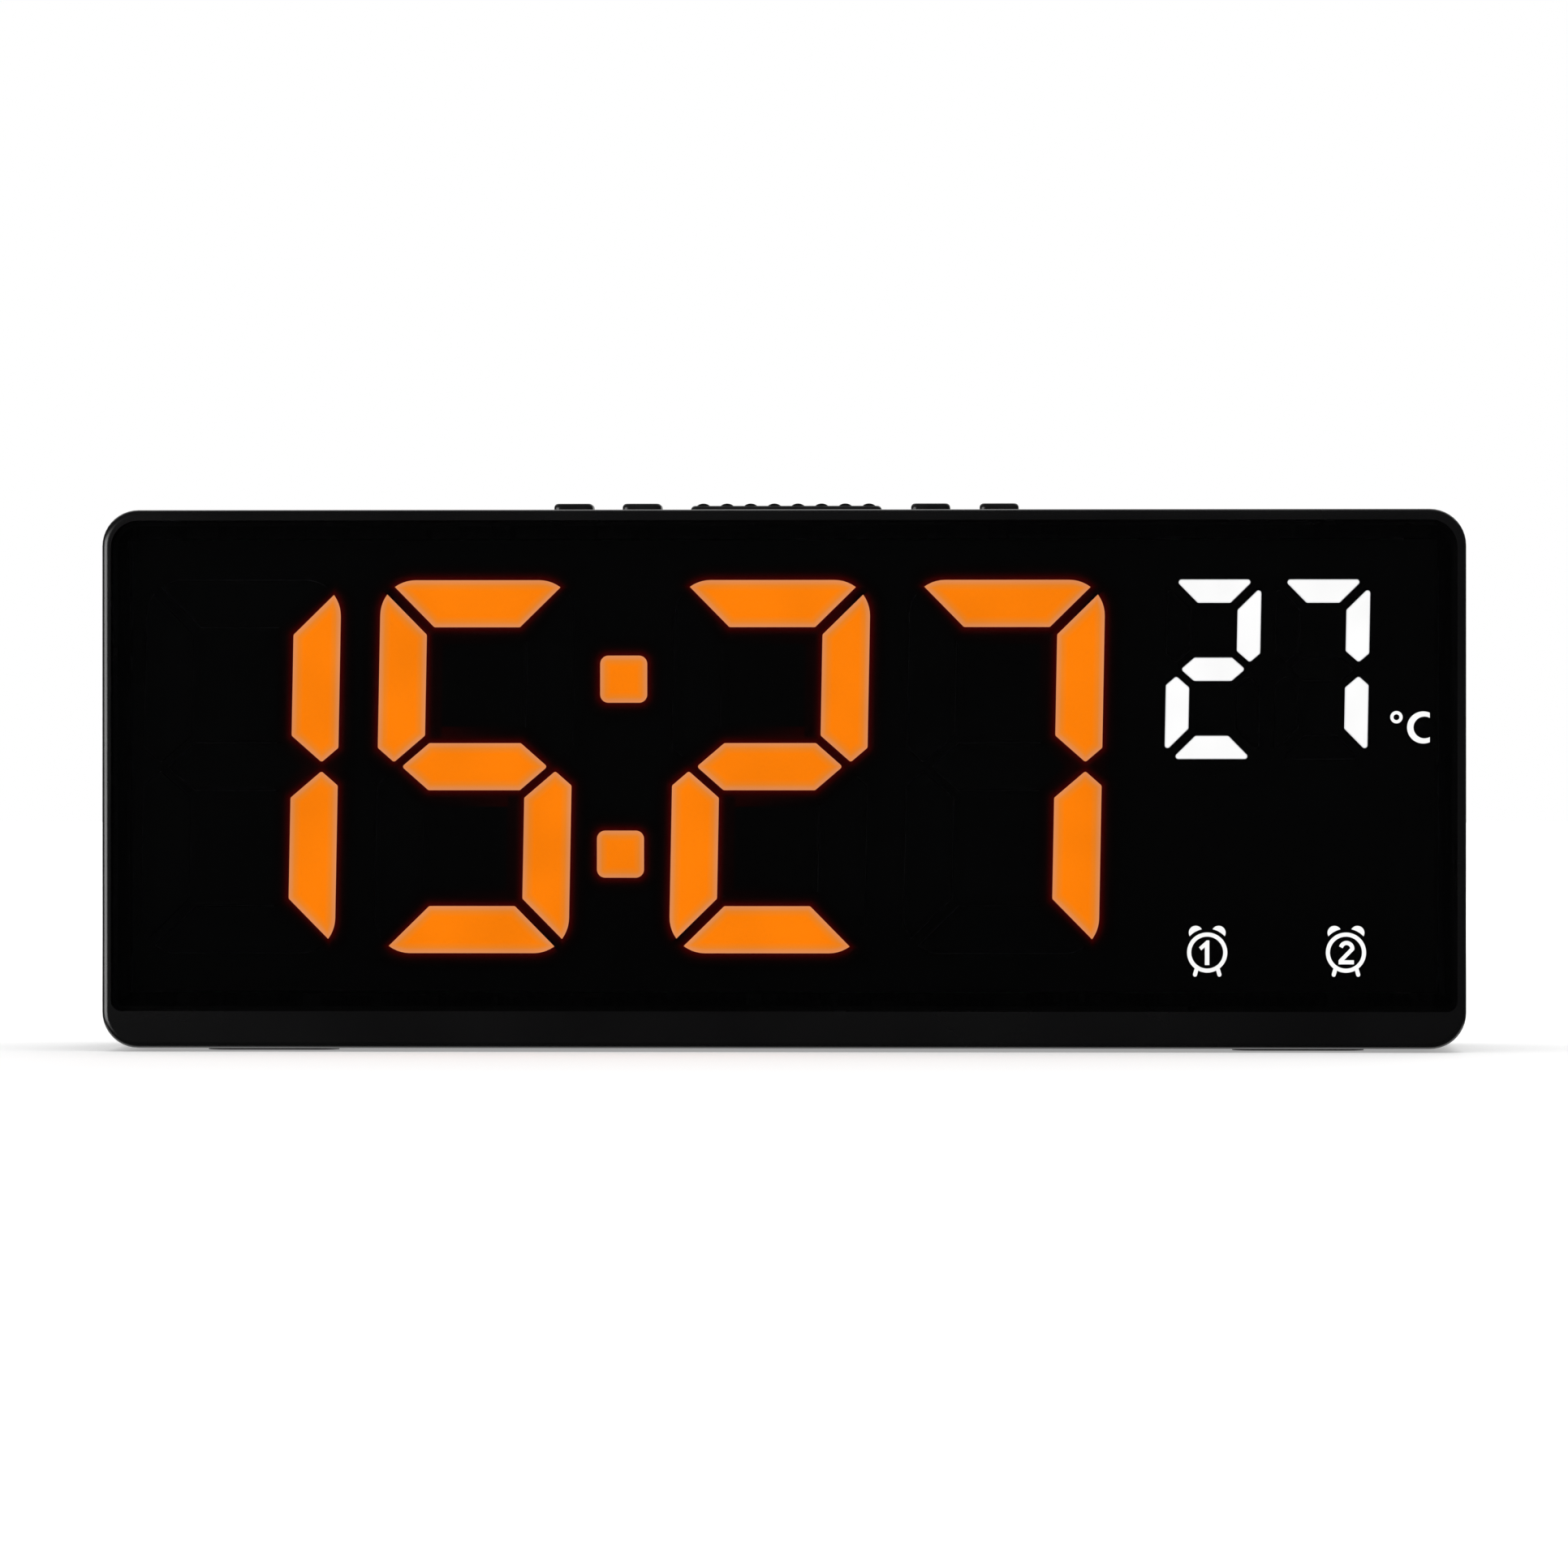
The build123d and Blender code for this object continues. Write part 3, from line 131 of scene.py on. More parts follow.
plastics = {
    "casePlastic": {
        "tone": (0.0045, 0.0045, 0.005),
        "paler": (0.0065, 0.0065, 0.007),
        "patch": 18 * mm,
        "grain": 0.12 * mm,
        "depth": 0.004 * mm,
        "bump": 0.35,
        "rough": (0.25, 0.28),
        "gloss": 0.5,
    },
    "coverPlastic": {
        "tone": (0.0095, 0.0095, 0.01),
        "paler": (0.011, 0.011, 0.0115),
        "patch": 14 * mm,
        "grain": 0.3 * mm,
        "depth": 0.02 * mm,
        "bump": 0.6,
        "rough": (0.47, 0.51),
        "gloss": 0.5,
    },
    "keyPlastic": {
        "tone": (0.009, 0.009, 0.0095),
        "paler": (0.014, 0.014, 0.015),
        "patch": 4 * mm,
        "grain": 0.15 * mm,
        "depth": 0.006 * mm,
        "bump": 0.4,
        "rough": (0.28, 0.38),
        "gloss": 0.5,
    },
    "maskBlack": {
        "tone": (0.0012, 0.0012, 0.0013),
        "paler": (0.0018, 0.0018, 0.002),
        "patch": 9 * mm,
        "grain": 0.08 * mm,
        "depth": 0.002 * mm,
        "bump": 0.2,
        "rough": (0.75, 0.9),
        "gloss": 0.1,
    },
    "unlitDiffuser": {
        "tone": (0.0014, 0.0014, 0.0015),
        "paler": (0.002, 0.002, 0.0022),
        "patch": 3 * mm,
        "grain": 0.1 * mm,
        "depth": 0.002 * mm,
        "bump": 0.2,
        "rough": (0.7, 0.85),
        "gloss": 0.1,
    },
    "lightBoxGrey": {
        "tone": (0.42, 0.42, 0.42),
        "paler": (0.5, 0.5, 0.5),
        "patch": 12 * mm,
        "grain": 0.2 * mm,
        "depth": 0.008 * mm,
        "bump": 0.3,
        "rough": (0.5, 0.65),
        "gloss": 0.5,
    },
    "chipBlack": {
        "tone": (0.012, 0.012, 0.013),
        "paler": (0.02, 0.02, 0.021),
        "patch": 2 * mm,
        "grain": 0.08 * mm,
        "depth": 0.006 * mm,
        "bump": 0.5,
        "rough": (0.5, 0.62),
        "gloss": 0.5,
    },
    "darkSleeve": {
        "tone": (0.01, 0.012, 0.03),
        "paler": (0.018, 0.02, 0.045),
        "patch": 3 * mm,
        "grain": 0.3 * mm,
        "depth": 0.004 * mm,
        "bump": 0.2,
        "rough": (0.2, 0.3),
        "gloss": 0.5,
    },
    "headerWhite": {
        "tone": (0.72, 0.7, 0.62),
        "paler": (0.8, 0.78, 0.71),
        "patch": 3 * mm,
        "grain": 0.15 * mm,
        "depth": 0.006 * mm,
        "bump": 0.3,
        "rough": (0.4, 0.5),
        "gloss": 0.5,
    },
    "leadRed": {
        "tone": (0.3, 0.012, 0.01),
        "paler": (0.38, 0.02, 0.015),
        "patch": 4 * mm,
        "grain": 0.2 * mm,
        "depth": 0.004 * mm,
        "bump": 0.2,
        "rough": (0.3, 0.42),
        "gloss": 0.5,
    },
    "ribbonGrey": {
        "tone": (0.36, 0.36, 0.38),
        "paler": (0.44, 0.44, 0.46),
        "patch": 3 * mm,
        "grain": 0.2 * mm,
        "depth": 0.004 * mm,
        "bump": 0.2,
        "rough": (0.45, 0.55),
        "gloss": 0.5,
    },
    "footRubber": {
        "tone": (0.014, 0.014, 0.014),
        "paler": (0.024, 0.024, 0.024),
        "patch": 4 * mm,
        "grain": 0.18 * mm,
        "depth": 0.015 * mm,
        "bump": 0.6,
        "rough": (0.75, 0.9),
        "gloss": 0.3,
    },
    "tapeBlack": {
        "tone": (0.0012, 0.0012, 0.0013),
        "paler": (0.0018, 0.0018, 0.002),
        "patch": 5 * mm,
        "grain": 0.25 * mm,
        "depth": 0.004 * mm,
        "bump": 0.2,
        "rough": (0.8, 0.95),
        "gloss": 0.1,
    },
    "ledPackage": {
        "tone": (0.75, 0.68, 0.3),
        "paler": (0.85, 0.83, 0.7),
        "patch": 0.9 * mm,
        "grain": 0.1 * mm,
        "depth": 0.004 * mm,
        "bump": 0.2,
        "rough": (0.2, 0.35),
        "gloss": 0.5,
    },
}
finishes = {name: moulded(name, look) for name, look in plastics.items()}


# Plated metal: brushed streaks in the roughness
def plated(name, look):
    finish, tree, shader = newFinish(name)
    streaks = objectNoise(tree, look["streak"], 3.0, look["stretch"])
    tone = twoTones(tree, between(tree, streaks, 0, 1), look["tone"], look["paler"])
    tree.links.new(tone, shader.inputs["Base Color"])
    tree.links.new(between(tree, streaks, *look["rough"]), shader.inputs["Roughness"])
    shader.inputs["Metallic"].default_value = 1.0
    grainBump(tree, shader, streaks, look["depth"], look["bump"])
    return finish


metals = {
    "brightSteel": {
        "tone": (0.5, 0.5, 0.51),
        "paler": (0.64, 0.64, 0.65),
        "streak": 0.6 * mm,
        "stretch": (1, 4, 4),
        "rough": (0.22, 0.36),
        "depth": 0.003 * mm,
        "bump": 0.3,
    },
    "contactGold": {
        "tone": (0.72, 0.5, 0.18),
        "paler": (0.83, 0.6, 0.25),
        "streak": 0.3 * mm,
        "stretch": (1, 1, 3),
        "rough": (0.2, 0.3),
        "depth": 0.001 * mm,
        "bump": 0.3,
    },
}
finishes.update({name: plated(name, look) for name, look in metals.items()})

# Circuit boards: green mask over darker ground, with paths running up and across
boardLook = {
    "ground": (0.008, 0.07, 0.028),
    "path": (0.02, 0.15, 0.06),
    "pitch": 1.6 * mm,
    "wander": 6.0,
    "share": 0.62,        # what is above this is path
    "patch": 3 * mm,
    "rough": (0.28, 0.4),
    "depth": 0.03 * mm,
    "bump": 0.4,
}


def solderMask(look):
    finish, tree, shader = newFinish("circuitBoard")
    place = addNode(tree, "ShaderNodeTexCoord")
    wander = addNode(tree, "ShaderNodeTexWave", {"wave_type": "BANDS", "bands_direction": "X"})
    wander.inputs["Scale"].default_value = 0.3 / look["pitch"]
    wander.inputs["Distortion"].default_value = look["wander"]
    wander.inputs["Detail"].default_value = 1.0
    wander.inputs["Detail Scale"].default_value = 0.6
    tree.links.new(place.outputs["Object"], wander.inputs["Vector"])
    edge = addNode(tree, "ShaderNodeMath", {"operation": "GREATER_THAN"})
    edge.inputs[1].default_value = look["share"]
    tree.links.new(wander.outputs["Fac"], edge.inputs[0])
    tone = twoTones(tree, edge.outputs["Value"], look["ground"], look["path"])
    tree.links.new(tone, shader.inputs["Base Color"])
    patch = objectNoise(tree, look["patch"])
    tree.links.new(between(tree, patch, *look["rough"]), shader.inputs["Roughness"])
    grainBump(tree, shader, edge.outputs["Value"], look["depth"], look["bump"])
    return finish


finishes["circuitBoard"] = solderMask(boardLook)

# Smoked window: black gloss that lets part of the light behind it through
lensLook = {
    "tone": (0.0012, 0.0012, 0.0014),
    "cover": 0.3,        # share of light that each of its faces stops
    "bend": 1.49,
    "rough": (0.02, 0.05),
    "patch": 25 * mm,
}


def smokedWindow(look):
    finish, tree, shader = newFinish("smokedWindow")
    shader.inputs["Base Color"].default_value = (*look["tone"], 1)
    shader.inputs["Alpha"].default_value = look["cover"]
    shader.inputs["IOR"].default_value = look["bend"]
    wipe = objectNoise(tree, look["patch"], 3.0, (1, 1, 2.5))
    tree.links.new(between(tree, wipe, *look["rough"]), shader.inputs["Roughness"])
    finish.surface_render_method = "BLENDED"
    return finish


finishes["smokedWindow"] = smokedWindow(lensLook)
lensPass = (1 - lensLook["cover"]) ** 2        # light passes its back and its front

# Lit diffusers: colour runs from the outline, where edge is 0, to the core, where it is 1
diffuserSkin = {"rough": 0.6, "gloss": 0.05}


def litDiffuser(name, look):
    finish, tree, shader = newFinish(name)
    shader.inputs["Base Color"].default_value = (*look["body"], 1)
    shader.inputs["Roughness"].default_value = diffuserSkin["rough"]
    shader.inputs["Specular IOR Level"].default_value = diffuserSkin["gloss"]
    edge = addNode(tree, "ShaderNodeAttribute", {"attribute_name": "edge"})
    ramp = addNode(tree, "ShaderNodeValToRGB")
    stops = ramp.color_ramp.elements
    while len(stops) < len(look["colours"]):
        stops.new(0.5)
    for stop, (share, colour) in zip(stops, look["colours"]):
        stop.position = share
        stop.color = (*colour, 1)
    tree.links.new(edge.outputs["Fac"], ramp.inputs["Fac"])
    cloud = objectNoise(tree, look["patch"], 1.0)
    glow = addNode(tree, "ShaderNodeMix", {"data_type": "RGBA", "blend_type": "MULTIPLY"})
    glow.inputs["Factor"].default_value = 1.0
    tree.links.new(ramp.outputs["Color"], glow.inputs["A"])
    tree.links.new(between(tree, cloud, *look["uneven"]), glow.inputs["B"])
    tree.links.new(glow.outputs["Result"], shader.inputs["Emission Color"])
    shader.inputs["Emission Strength"].default_value = look["level"] / lensPass
    return finish


litLooks = {
    "litOrange": {
        "body": (0.02, 0.004, 0.0005),
        "colours": [
            (0.0, (0.76, 0.28, 0.11)),
            (0.4, (0.76, 0.25, 0.065)),
            (0.7, (0.84, 0.228, 0.016)),
            (1.0, (0.99, 0.215, 0.0015)),
        ],
        "patch": 9 * mm,
        "uneven": (0.94, 1.03),
        "level": 1.0,
    },
    "litWhite": {
        "body": (0.02, 0.02, 0.02),
        "colours": [(0.0, (0.75, 0.76, 0.78)), (0.5, (1.0, 1.0, 1.0))],
        "patch": 6 * mm,
        "uneven": (0.97, 1.03),
        "level": 0.97,
    },
    "redHalo": {
        "body": (0.0014, 0.001, 0.001),
        "colours": [
            (0.0, (0.0, 0.0, 0.0)),
            (0.26, (0.002, 0.0, 0.0)),
            (0.37, (0.0046, 0.0, 0.0)),
            (0.5, (0.0098, 0.0, 0.0)),
            (0.65, (0.0185, 0.0, 0.0)),
            (0.76, (0.031, 0.0, 0.0)),
            (1.0, (0.045, 0.0, 0.0)),
        ],
        "patch": 5 * mm,
        "uneven": (0.9, 1.05),
        "level": 1.0,
    },
}
finishes.update({name: litDiffuser(name, look) for name, look in litLooks.items()})
print("finishes:", len(finishes))

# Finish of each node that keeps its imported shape
painted = {
    "front_frame": "casePlastic",
    "front_lens": "smokedWindow",
    "lens_tape": "tapeBlack",
    "mask_film": "maskBlack",
    "reflector_block": "lightBoxGrey",
    "time_segments_dark": "unlitDiffuser",
    "temperature_segments_dark": "unlitDiffuser",
    "sign_diffusers": "lightBoxGrey",
    "main_board": "circuitBoard",
    "display_leds": "ledPackage",
    "controller_chip": "chipBlack",
    "clock_crystal": "brightSteel",
    "smoothing_capacitor": "darkSleeve",
    "sounder": "chipBlack",
    "lead_headers": "headerWhite",
    "temperature_sensor": "darkSleeve",
    "board_screws": "brightSteel",
    "rear_cover": "coverPlastic",
    "case_screws": "brightSteel",
    "rubber_feet": "footRubber",
    "key_board": "circuitBoard",
    "key_switches": "chipBlack",
    "key_board_screws": "brightSteel",
    "key_ribbon": "ribbonGrey",
    "usb_board": "circuitBoard",
    "usb_socket": "brightSteel",
    "usb_tongue": "chipBlack",
    "power_leads": "leadRed",
    "battery_springs": "brightSteel",
    "battery_contacts": "brightSteel",
    "battery_leads": "leadRed",
    "battery_door": "coverPlastic",
}
keyNames = ["left_outer", "left_inner", "snooze", "right_inner", "right_outer"]
painted.update({name + "_key": "keyPlastic" for name in keyNames})
painted.update({name + "_stem": "chipBlack" for name in keyNames})
for name, finish in painted.items():
    mesh = nodes[name].data
    mesh.materials.clear()
    mesh.materials.append(finishes[finish])
print("painted nodes:", len(painted))


# New pieces: a mesh with its place in its points
def addPiece(name, body, finish, mesh):
    data = bpy.data.meshes.new(name)
    mesh.to_mesh(data)
    mesh.free()
    data.materials.append(finishes[finish])
    piece = bpy.data.objects.new(name, data)
    scene.collection.objects.link(piece)
    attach(piece, body)
    return piece


def cleaned(mesh):
    bmesh.ops.remove_doubles(mesh, verts=mesh.verts, dist=weld * 0.2)
    bmesh.ops.dissolve_degenerate(mesh, edges=mesh.edges, dist=weld * 0.1)
    bmesh.ops.recalc_face_normals(mesh, faces=mesh.faces)
    return mesh


# Outlines of a node's front faces, each a list of (x, z) points
def frontLoops(name):
    mesh = bmesh.new()
    mesh.from_mesh(nodes[name].data)
    bmesh.ops.remove_doubles(mesh, verts=mesh.verts, dist=weld)
    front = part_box(name)[0].y
    faces = [f for f in mesh.faces if all(abs(v.co.y - front) < 5 * weld for v in f.verts)]
    follows = {}
    for face in faces:
        for corner in face.loops:
            if sum(other in faces for other in corner.edge.link_faces) == 1:
                follows[corner.vert] = corner.link_loop_next.vert
    loops = []
    while follows:
        start, point = follows.popitem()
        loop = [start]
        while point is not start:
            loop.append(point)
            point = follows.pop(point)
        loops.append([Vector((v.co.x, v.co.z)) for v in loop])
    mesh.free()
    return loops


def shrunk(loop, distance):
    # A convex outline moved inwards: what lies at least this far inside each edge
    kept = list(loop)
    for before, after in zip(loop, loop[1:] + loop[:1]):
        along = (after - before).normalized()
        inward = Vector((-along.y, along.x))
        depths = [(p - before).dot(inward) - distance for p in kept]
        clipped = []
        for i, (point, depth) in enumerate(zip(kept, depths)):
            last, lastDepth = kept[i - 1], depths[i - 1]
            if (depth >= 0) != (lastDepth >= 0):
                clipped.append(last.lerp(point, lastDepth / (lastDepth - depth)))
            if depth >= 0:
                clipped.append(point)
        kept = clipped
    return kept


def nearestOn(loop, point):
    best = None
    for before, after in zip(loop, loop[1:] + loop[:1]):
        span = after - before
        share = (point - before).dot(span) / max(span.dot(span), 1e-18)
        spot = before + span * min(1, max(0, share))
        if best is None or (spot - point).length < (best - point).length:
            best = spot
    return best


def fillRings(mesh, rings):
    # Strips between rings of equal length
    for outer, inner in zip(rings, rings[1:]):
        for i in range(len(outer)):
            j = (i + 1) % len(outer)
            mesh.faces.new((outer[i], outer[j], inner[j], inner[i]))


# Lit segments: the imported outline, a little proud of the film, with a paler border
segmentLook = {
    "proud": 0.045 * mm,
    "steps": [(0.0, 0.0), (0.3 * mm, 0.4), (0.65 * mm, 0.7), (1.3 * mm, 1.0)],
}
smallSegmentLook = {"proud": 0.045 * mm, "steps": [(0.0, 0.0), (0.12 * mm, 0.5), (0.3 * mm, 1.0)]}


def litSegments(pieceName, nodeName, finish, look):
    low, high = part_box(nodeName)
    front = low.y - look["proud"]
    mesh = bmesh.new()
    edge = mesh.verts.layers.float.new("edge")
    for loop in frontLoops(nodeName):
        rings = []
        for inset, share in look["steps"]:
            target = shrunk(loop, inset) if inset else loop
            spots = [nearestOn(target, p) if inset else p for p in loop]
            ring = [mesh.verts.new((p.x, front, p.y)) for p in spots]
            for vert in ring:
                vert[edge] = share
            rings.append(ring)
        back = [mesh.verts.new((p.x, high.y, p.y)) for p in loop]
        fillRings(mesh, [back] + rings)
        mesh.faces.new(rings[-1])
        mesh.faces.new(back[::-1])
    piece = addPiece(pieceName, "housing", finish, cleaned(mesh))
    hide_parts(nodeName)


litSegments("timeSegmentsLit", "time_segments_lit", "litOrange", segmentLook)
litSegments("colonDots", "colon_dots", "litOrange", segmentLook)
litSegments(
    "temperatureSegmentsLit", "temperature_segments_lit", "litWhite", smallSegmentLook
)
print("lit segments done")

# Red halo on the film round each orange segment, as light that leaks past the diffuser
haloLook = {
    "proud": 0.018 * mm,
    "layer": 0.0006 * mm,        # each segment's halo lies this much over the last one's
    "rings": [-0.08 * mm, 0.1 * mm, 0.3 * mm, 0.55 * mm, 0.85 * mm, 1.2 * mm, 1.6 * mm, 2.0 * mm],
    "reach": 2.0 * mm,
    "power": 4,
}


def addHalo(look):
    loops = frontLoops("time_segments_lit") + frontLoops("colon_dots")
    starts = np.array([p for loop in loops for p in loop])
    ends = np.array([p for loop in loops for p in loop[1:] + loop[:1]])
    owner = np.concatenate([[k] * len(loop) for k, loop in enumerate(loops)])
    spans = ends - starts
    lengths = (spans**2).sum(1)

    def strength(point):
        # The nearest segment counts most, the others add a little
        way = np.array(point) - starts
        share = np.clip((way * spans).sum(1) / lengths, 0, 1)
        gaps = np.hypot(*(way - spans * share[:, None]).T)
        each = [gaps[owner == k].min() for k in range(len(loops))]
        fades = [max(0.0, 1 - gap / look["reach"]) ** 2 for gap in each]
        return min(1.0, sum(fade ** look["power"] for fade in fades) ** (1 / look["power"]))

    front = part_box("time_segments_lit")[0].y - look["proud"]
    mesh = bmesh.new()
    edge = mesh.verts.layers.float.new("edge")
    for k, loop in enumerate(loops):
        count = len(loop)
        normals = []
        for i in range(count):
            one = (loop[i] - loop[i - 1]).normalized()
            two = (loop[(i + 1) % count] - loop[i]).normalized()
            both = one + two
            normals.append(Vector((both.y, -both.x)).normalized())
        rings = []
        for out in look["rings"]:
            ring = []
            for point, normal in zip(loop, normals):
                spot = point + normal * out
                vert = mesh.verts.new((spot.x, front - k * look["layer"], spot.y))
                vert[edge] = strength(spot)
                ring.append(vert)
            rings.append(ring)
        fillRings(mesh, rings[::-1])
    bmesh.ops.recalc_face_normals(mesh, faces=mesh.faces)
    for face in mesh.faces:
        if face.normal.y > 0:
            face.normal_flip()
    piece = addPiece("segmentHalo", "housing", "redHalo", mesh)


addHalo(haloLook)
print("halo done")


# Printed signs in the gap behind the window: closed thin plates from flat outlines with holes
def addPlate(mesh, edge, outlines, front, back):
    flat = [[Vector((p[0], p[1], 0)) for p in outline] for outline in outlines]
    points = [p for outline in flat for p in outline]
    near = [mesh.verts.new((p.x, front, p.y)) for p in points]
    far = [mesh.verts.new((p.x, back, p.y)) for p in points]
    for vert in near + far:
        vert[edge] = 1.0
    for a, b, c in tessellate_polygon(flat):
        mesh.faces.new((near[a], near[b], near[c]))
        mesh.faces.new((far[c], far[b], far[a]))
    start = 0
    for outline in flat:
        count = len(outline)
        for i in range(count):
            j = start + (i + 1) % count
            mesh.faces.new((near[start + i], near[j], far[j], far[start + i]))
        start += count


def arcPoints(centre, radii, first, last, count):
    return [
        (
            centre[0] + radii[0] * cos(first + (last - first) * k / count),
            centre[1] + radii[1] * sin(first + (last - first) * k / count),
        )
        for k in range(count + 1)
    ]


signLook = {"front": 0.06 * mm, "back": 0.02 * mm}        # in front of the film
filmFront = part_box("mask_film")[0].y
signFront = filmFront - signLook["front"]
signBack = filmFront - signLook["back"]

# Degree sign and unit letter, about the middle of their window
unitLook = {
    "middle": (75.85 * mm, 39.35 * mm),
    "ring": (-1.69 * mm, 1.12 * mm),
    "ringRadii": (0.745 * mm, 0.36 * mm),
    "outerMiddle": (1.54 * mm, -0.12 * mm),
    "outer": (1.95 * mm, 1.94 * mm),
    "innerMiddle": (1.69 * mm, -0.12 * mm),
    "inner": (1.325 * mm, 1.32 * mm),
    "cut": 2.33 * mm,
}


def addUnitSign(look):
    mesh = bmesh.new()
    edge = mesh.verts.layers.float.new("edge")
    midX, midZ = look["middle"]
    ringAt = (midX + look["ring"][0], midZ + look["ring"][1])
    circles = [arcPoints(ringAt, (r, r), 0, 2 * pi, 40)[:-1] for r in look["ringRadii"]]
    addPlate(mesh, edge, circles, signFront, signBack)
    letter = []
    for side in ("outer", "inner"):
        atX, atZ = look[side + "Middle"]
        end = acos((look["cut"] - atX) / look[side][0])
        curve = arcPoints((midX + atX, midZ + atZ), look[side], end, 2 * pi - end, 48)
        letter += curve[::-1] if letter else curve
    addPlate(mesh, edge, [letter], signFront, signBack)
    piece = addPiece("unitSign", "housing", "litWhite", cleaned(mesh))


# Alarm signs: a round clock with two bells and two feet, and a numeral inside
alarmLook = {
    "middles": [(51.32 * mm, 12.02 * mm), (68.07 * mm, 12.02 * mm)],
    "ring": (2.43 * mm, 1.935 * mm),
    "bellAngle": 120,
    "bellOut": 2.77 * mm,
    "bellRadius": 0.84 * mm,
    "bellGap": 0.465 * mm,
    "footAngle": 237.5,
    "footWidth": 0.5 * mm,
    "footReach": 0.64 * mm,
    "footLean": 15,
    "unit": 0.098 * mm,
}


def ringWithFeet(middle, look):
    radius = look["ring"][0]
    half = look["footWidth"] / 2
    spread = half / radius
    outline = []
    angles = [radians(look["footAngle"]), radians(540 - look["footAngle"])]
    at = angles[1] - 2 * pi + spread
    for foot, side in zip(angles, (-1, 1)):
        stop = foot - spread
        steps = max(6, int((stop - at) / radians(6)))
        outline += arcPoints(middle, (radius, radius), at, stop, steps)
        lean = radians(270 + side * look["footLean"])
        rootX = middle[0] + radius * cos(foot)
        rootZ = middle[1] + radius * sin(foot)
        tip = (rootX + look["footReach"] * cos(lean), rootZ + look["footReach"] * sin(lean))
        outline += arcPoints(tip, (half, half), lean - pi / 2, lean + pi / 2, 8)
        at = foot + spread
    inner = arcPoints(middle, (look["ring"][1], look["ring"][1]), 0, 2 * pi, 48)[:-1]
    return [outline, inner]


def bellOutline(middle, side, look):
    # A disc cut off by a circle round the ring
    cutRadius = look["ring"][0] + look["bellGap"]
    way = radians(look["bellAngle"] if side < 0 else 180 - look["bellAngle"])
    out, radius = look["bellOut"], look["bellRadius"]
    disc = (middle[0] + out * cos(way), middle[1] + out * sin(way))
    fromDisc = acos((cutRadius**2 - out**2 - radius**2) / (2 * out * radius))
    fromRing = acos((cutRadius**2 + out**2 - radius**2) / (2 * out * cutRadius))
    dome = arcPoints(disc, (radius, radius), way - fromDisc, way + fromDisc, 24)
    base = arcPoints(middle, (cutRadius, cutRadius), way + fromRing, way - fromRing, 12)
    return [dome + base[1:-1]]


def numeralOutline(text, middle, look):
    # A plain 1 or 2, on a grid whose side is one unit of the look
    if text == "1":
        stem = [(-2.9, -15.4), (2.6, -15.4), (2.6, 15), (-0.6, 15)]
        spots = stem + [(-10, 6.5), (-7.4, 2.7), (-2.9, 6.6)]
    else:
        crest = (0.7, 4.9)
        outer = arcPoints(crest, (9.6, 9.6), radians(163), radians(-8), 24)
        inner = arcPoints(crest, (4.5, 4.5), radians(5), radians(174), 16)
        base = [(-2.4, -9.4), (9.8, -9.4), (9.8, -14.4), (-9.1, -14.4), (-9.1, -9.4)]
        spots = outer + base + inner
    unit = look["unit"]
    return [[(middle[0] + x * unit, middle[1] + z * unit) for x, z in spots]]


def addAlarmSigns(look):
    mesh = bmesh.new()
    edge = mesh.verts.layers.float.new("edge")
    for middle, text in zip(look["middles"], "12"):
        addPlate(mesh, edge, ringWithFeet(middle, look), signFront, signBack)
        for side in (-1, 1):
            addPlate(mesh, edge, bellOutline(middle, side, look), signFront, signBack)
        addPlate(mesh, edge, numeralOutline(text, middle, look), signFront, signBack)
    piece = addPiece("alarmSigns", "housing", "litWhite", cleaned(mesh))


addUnitSign(unitLook)
addAlarmSigns(alarmLook)
print("signs done")

# Cells: turned sleeves with bright ends, each along the line of its packed cell
cellLook = {
    "sleeve": (0.05, 0.085, 0.12),
    "band": (0.5, 0.52, 0.54),
    "bandFrom": 0.80,
    "bandTo": 0.86,
    "bandEdge": 0.1 * mm,
    "fold": 0.35 * mm,        # the sleeve is folded over the ends
    "lip": 0.02 * mm,
    "rim": 4.2 * mm,
    "hollow": (0.3 * mm, 0.2 * mm),        # depth and width of the step inside the rim
    "dish": [(0.0, 1.2 * mm), (0.06 * mm, 0.8 * mm), (0.2 * mm, 0.3 * mm)],
    "nub": 1.9 * mm,
    "nubHeight": 0.8 * mm,
    "shoulder": [(-0.1 * mm, 1.0 * mm), (0.02 * mm, 0.25 * mm), (0.15 * mm, 0.02 * mm)],
    "crown": [(0.15 * mm, 0.0), (0.04 * mm, 0.1 * mm), (0.0, 0.25 * mm)],
    "steps": 48,
    "rough": (0.22, 0.34),
    "patch": 6 * mm,
    "grain": 0.25 * mm,
    "depth": 0.002 * mm,
    "bump": 0.2,
}


def sleeveFinish(look):
    finish, tree, shader = newFinish("cellSleeve")
    along = addNode(tree, "ShaderNodeAttribute", {"attribute_name": "along"})
    after = addNode(tree, "ShaderNodeMath", {"operation": "GREATER_THAN"}, {1: look["bandFrom"]})
    before = addNode(tree, "ShaderNodeMath", {"operation": "LESS_THAN"}, {1: look["bandTo"]})
    inside = addNode(tree, "ShaderNodeMath", {"operation": "MULTIPLY"})
    tree.links.new(along.outputs["Fac"], after.inputs[0])
    tree.links.new(along.outputs["Fac"], before.inputs[0])
    tree.links.new(after.outputs["Value"], inside.inputs[0])
    tree.links.new(before.outputs["Value"], inside.inputs[1])
    tone = twoTones(tree, inside.outputs["Value"], look["sleeve"], look["band"])
    tree.links.new(tone, shader.inputs["Base Color"])
    patch = objectNoise(tree, look["patch"], 3.0)
    tree.links.new(between(tree, patch, *look["rough"]), shader.inputs["Roughness"])
    grainBump(tree, shader, objectNoise(tree, look["grain"]), look["depth"], look["bump"])
    return finish


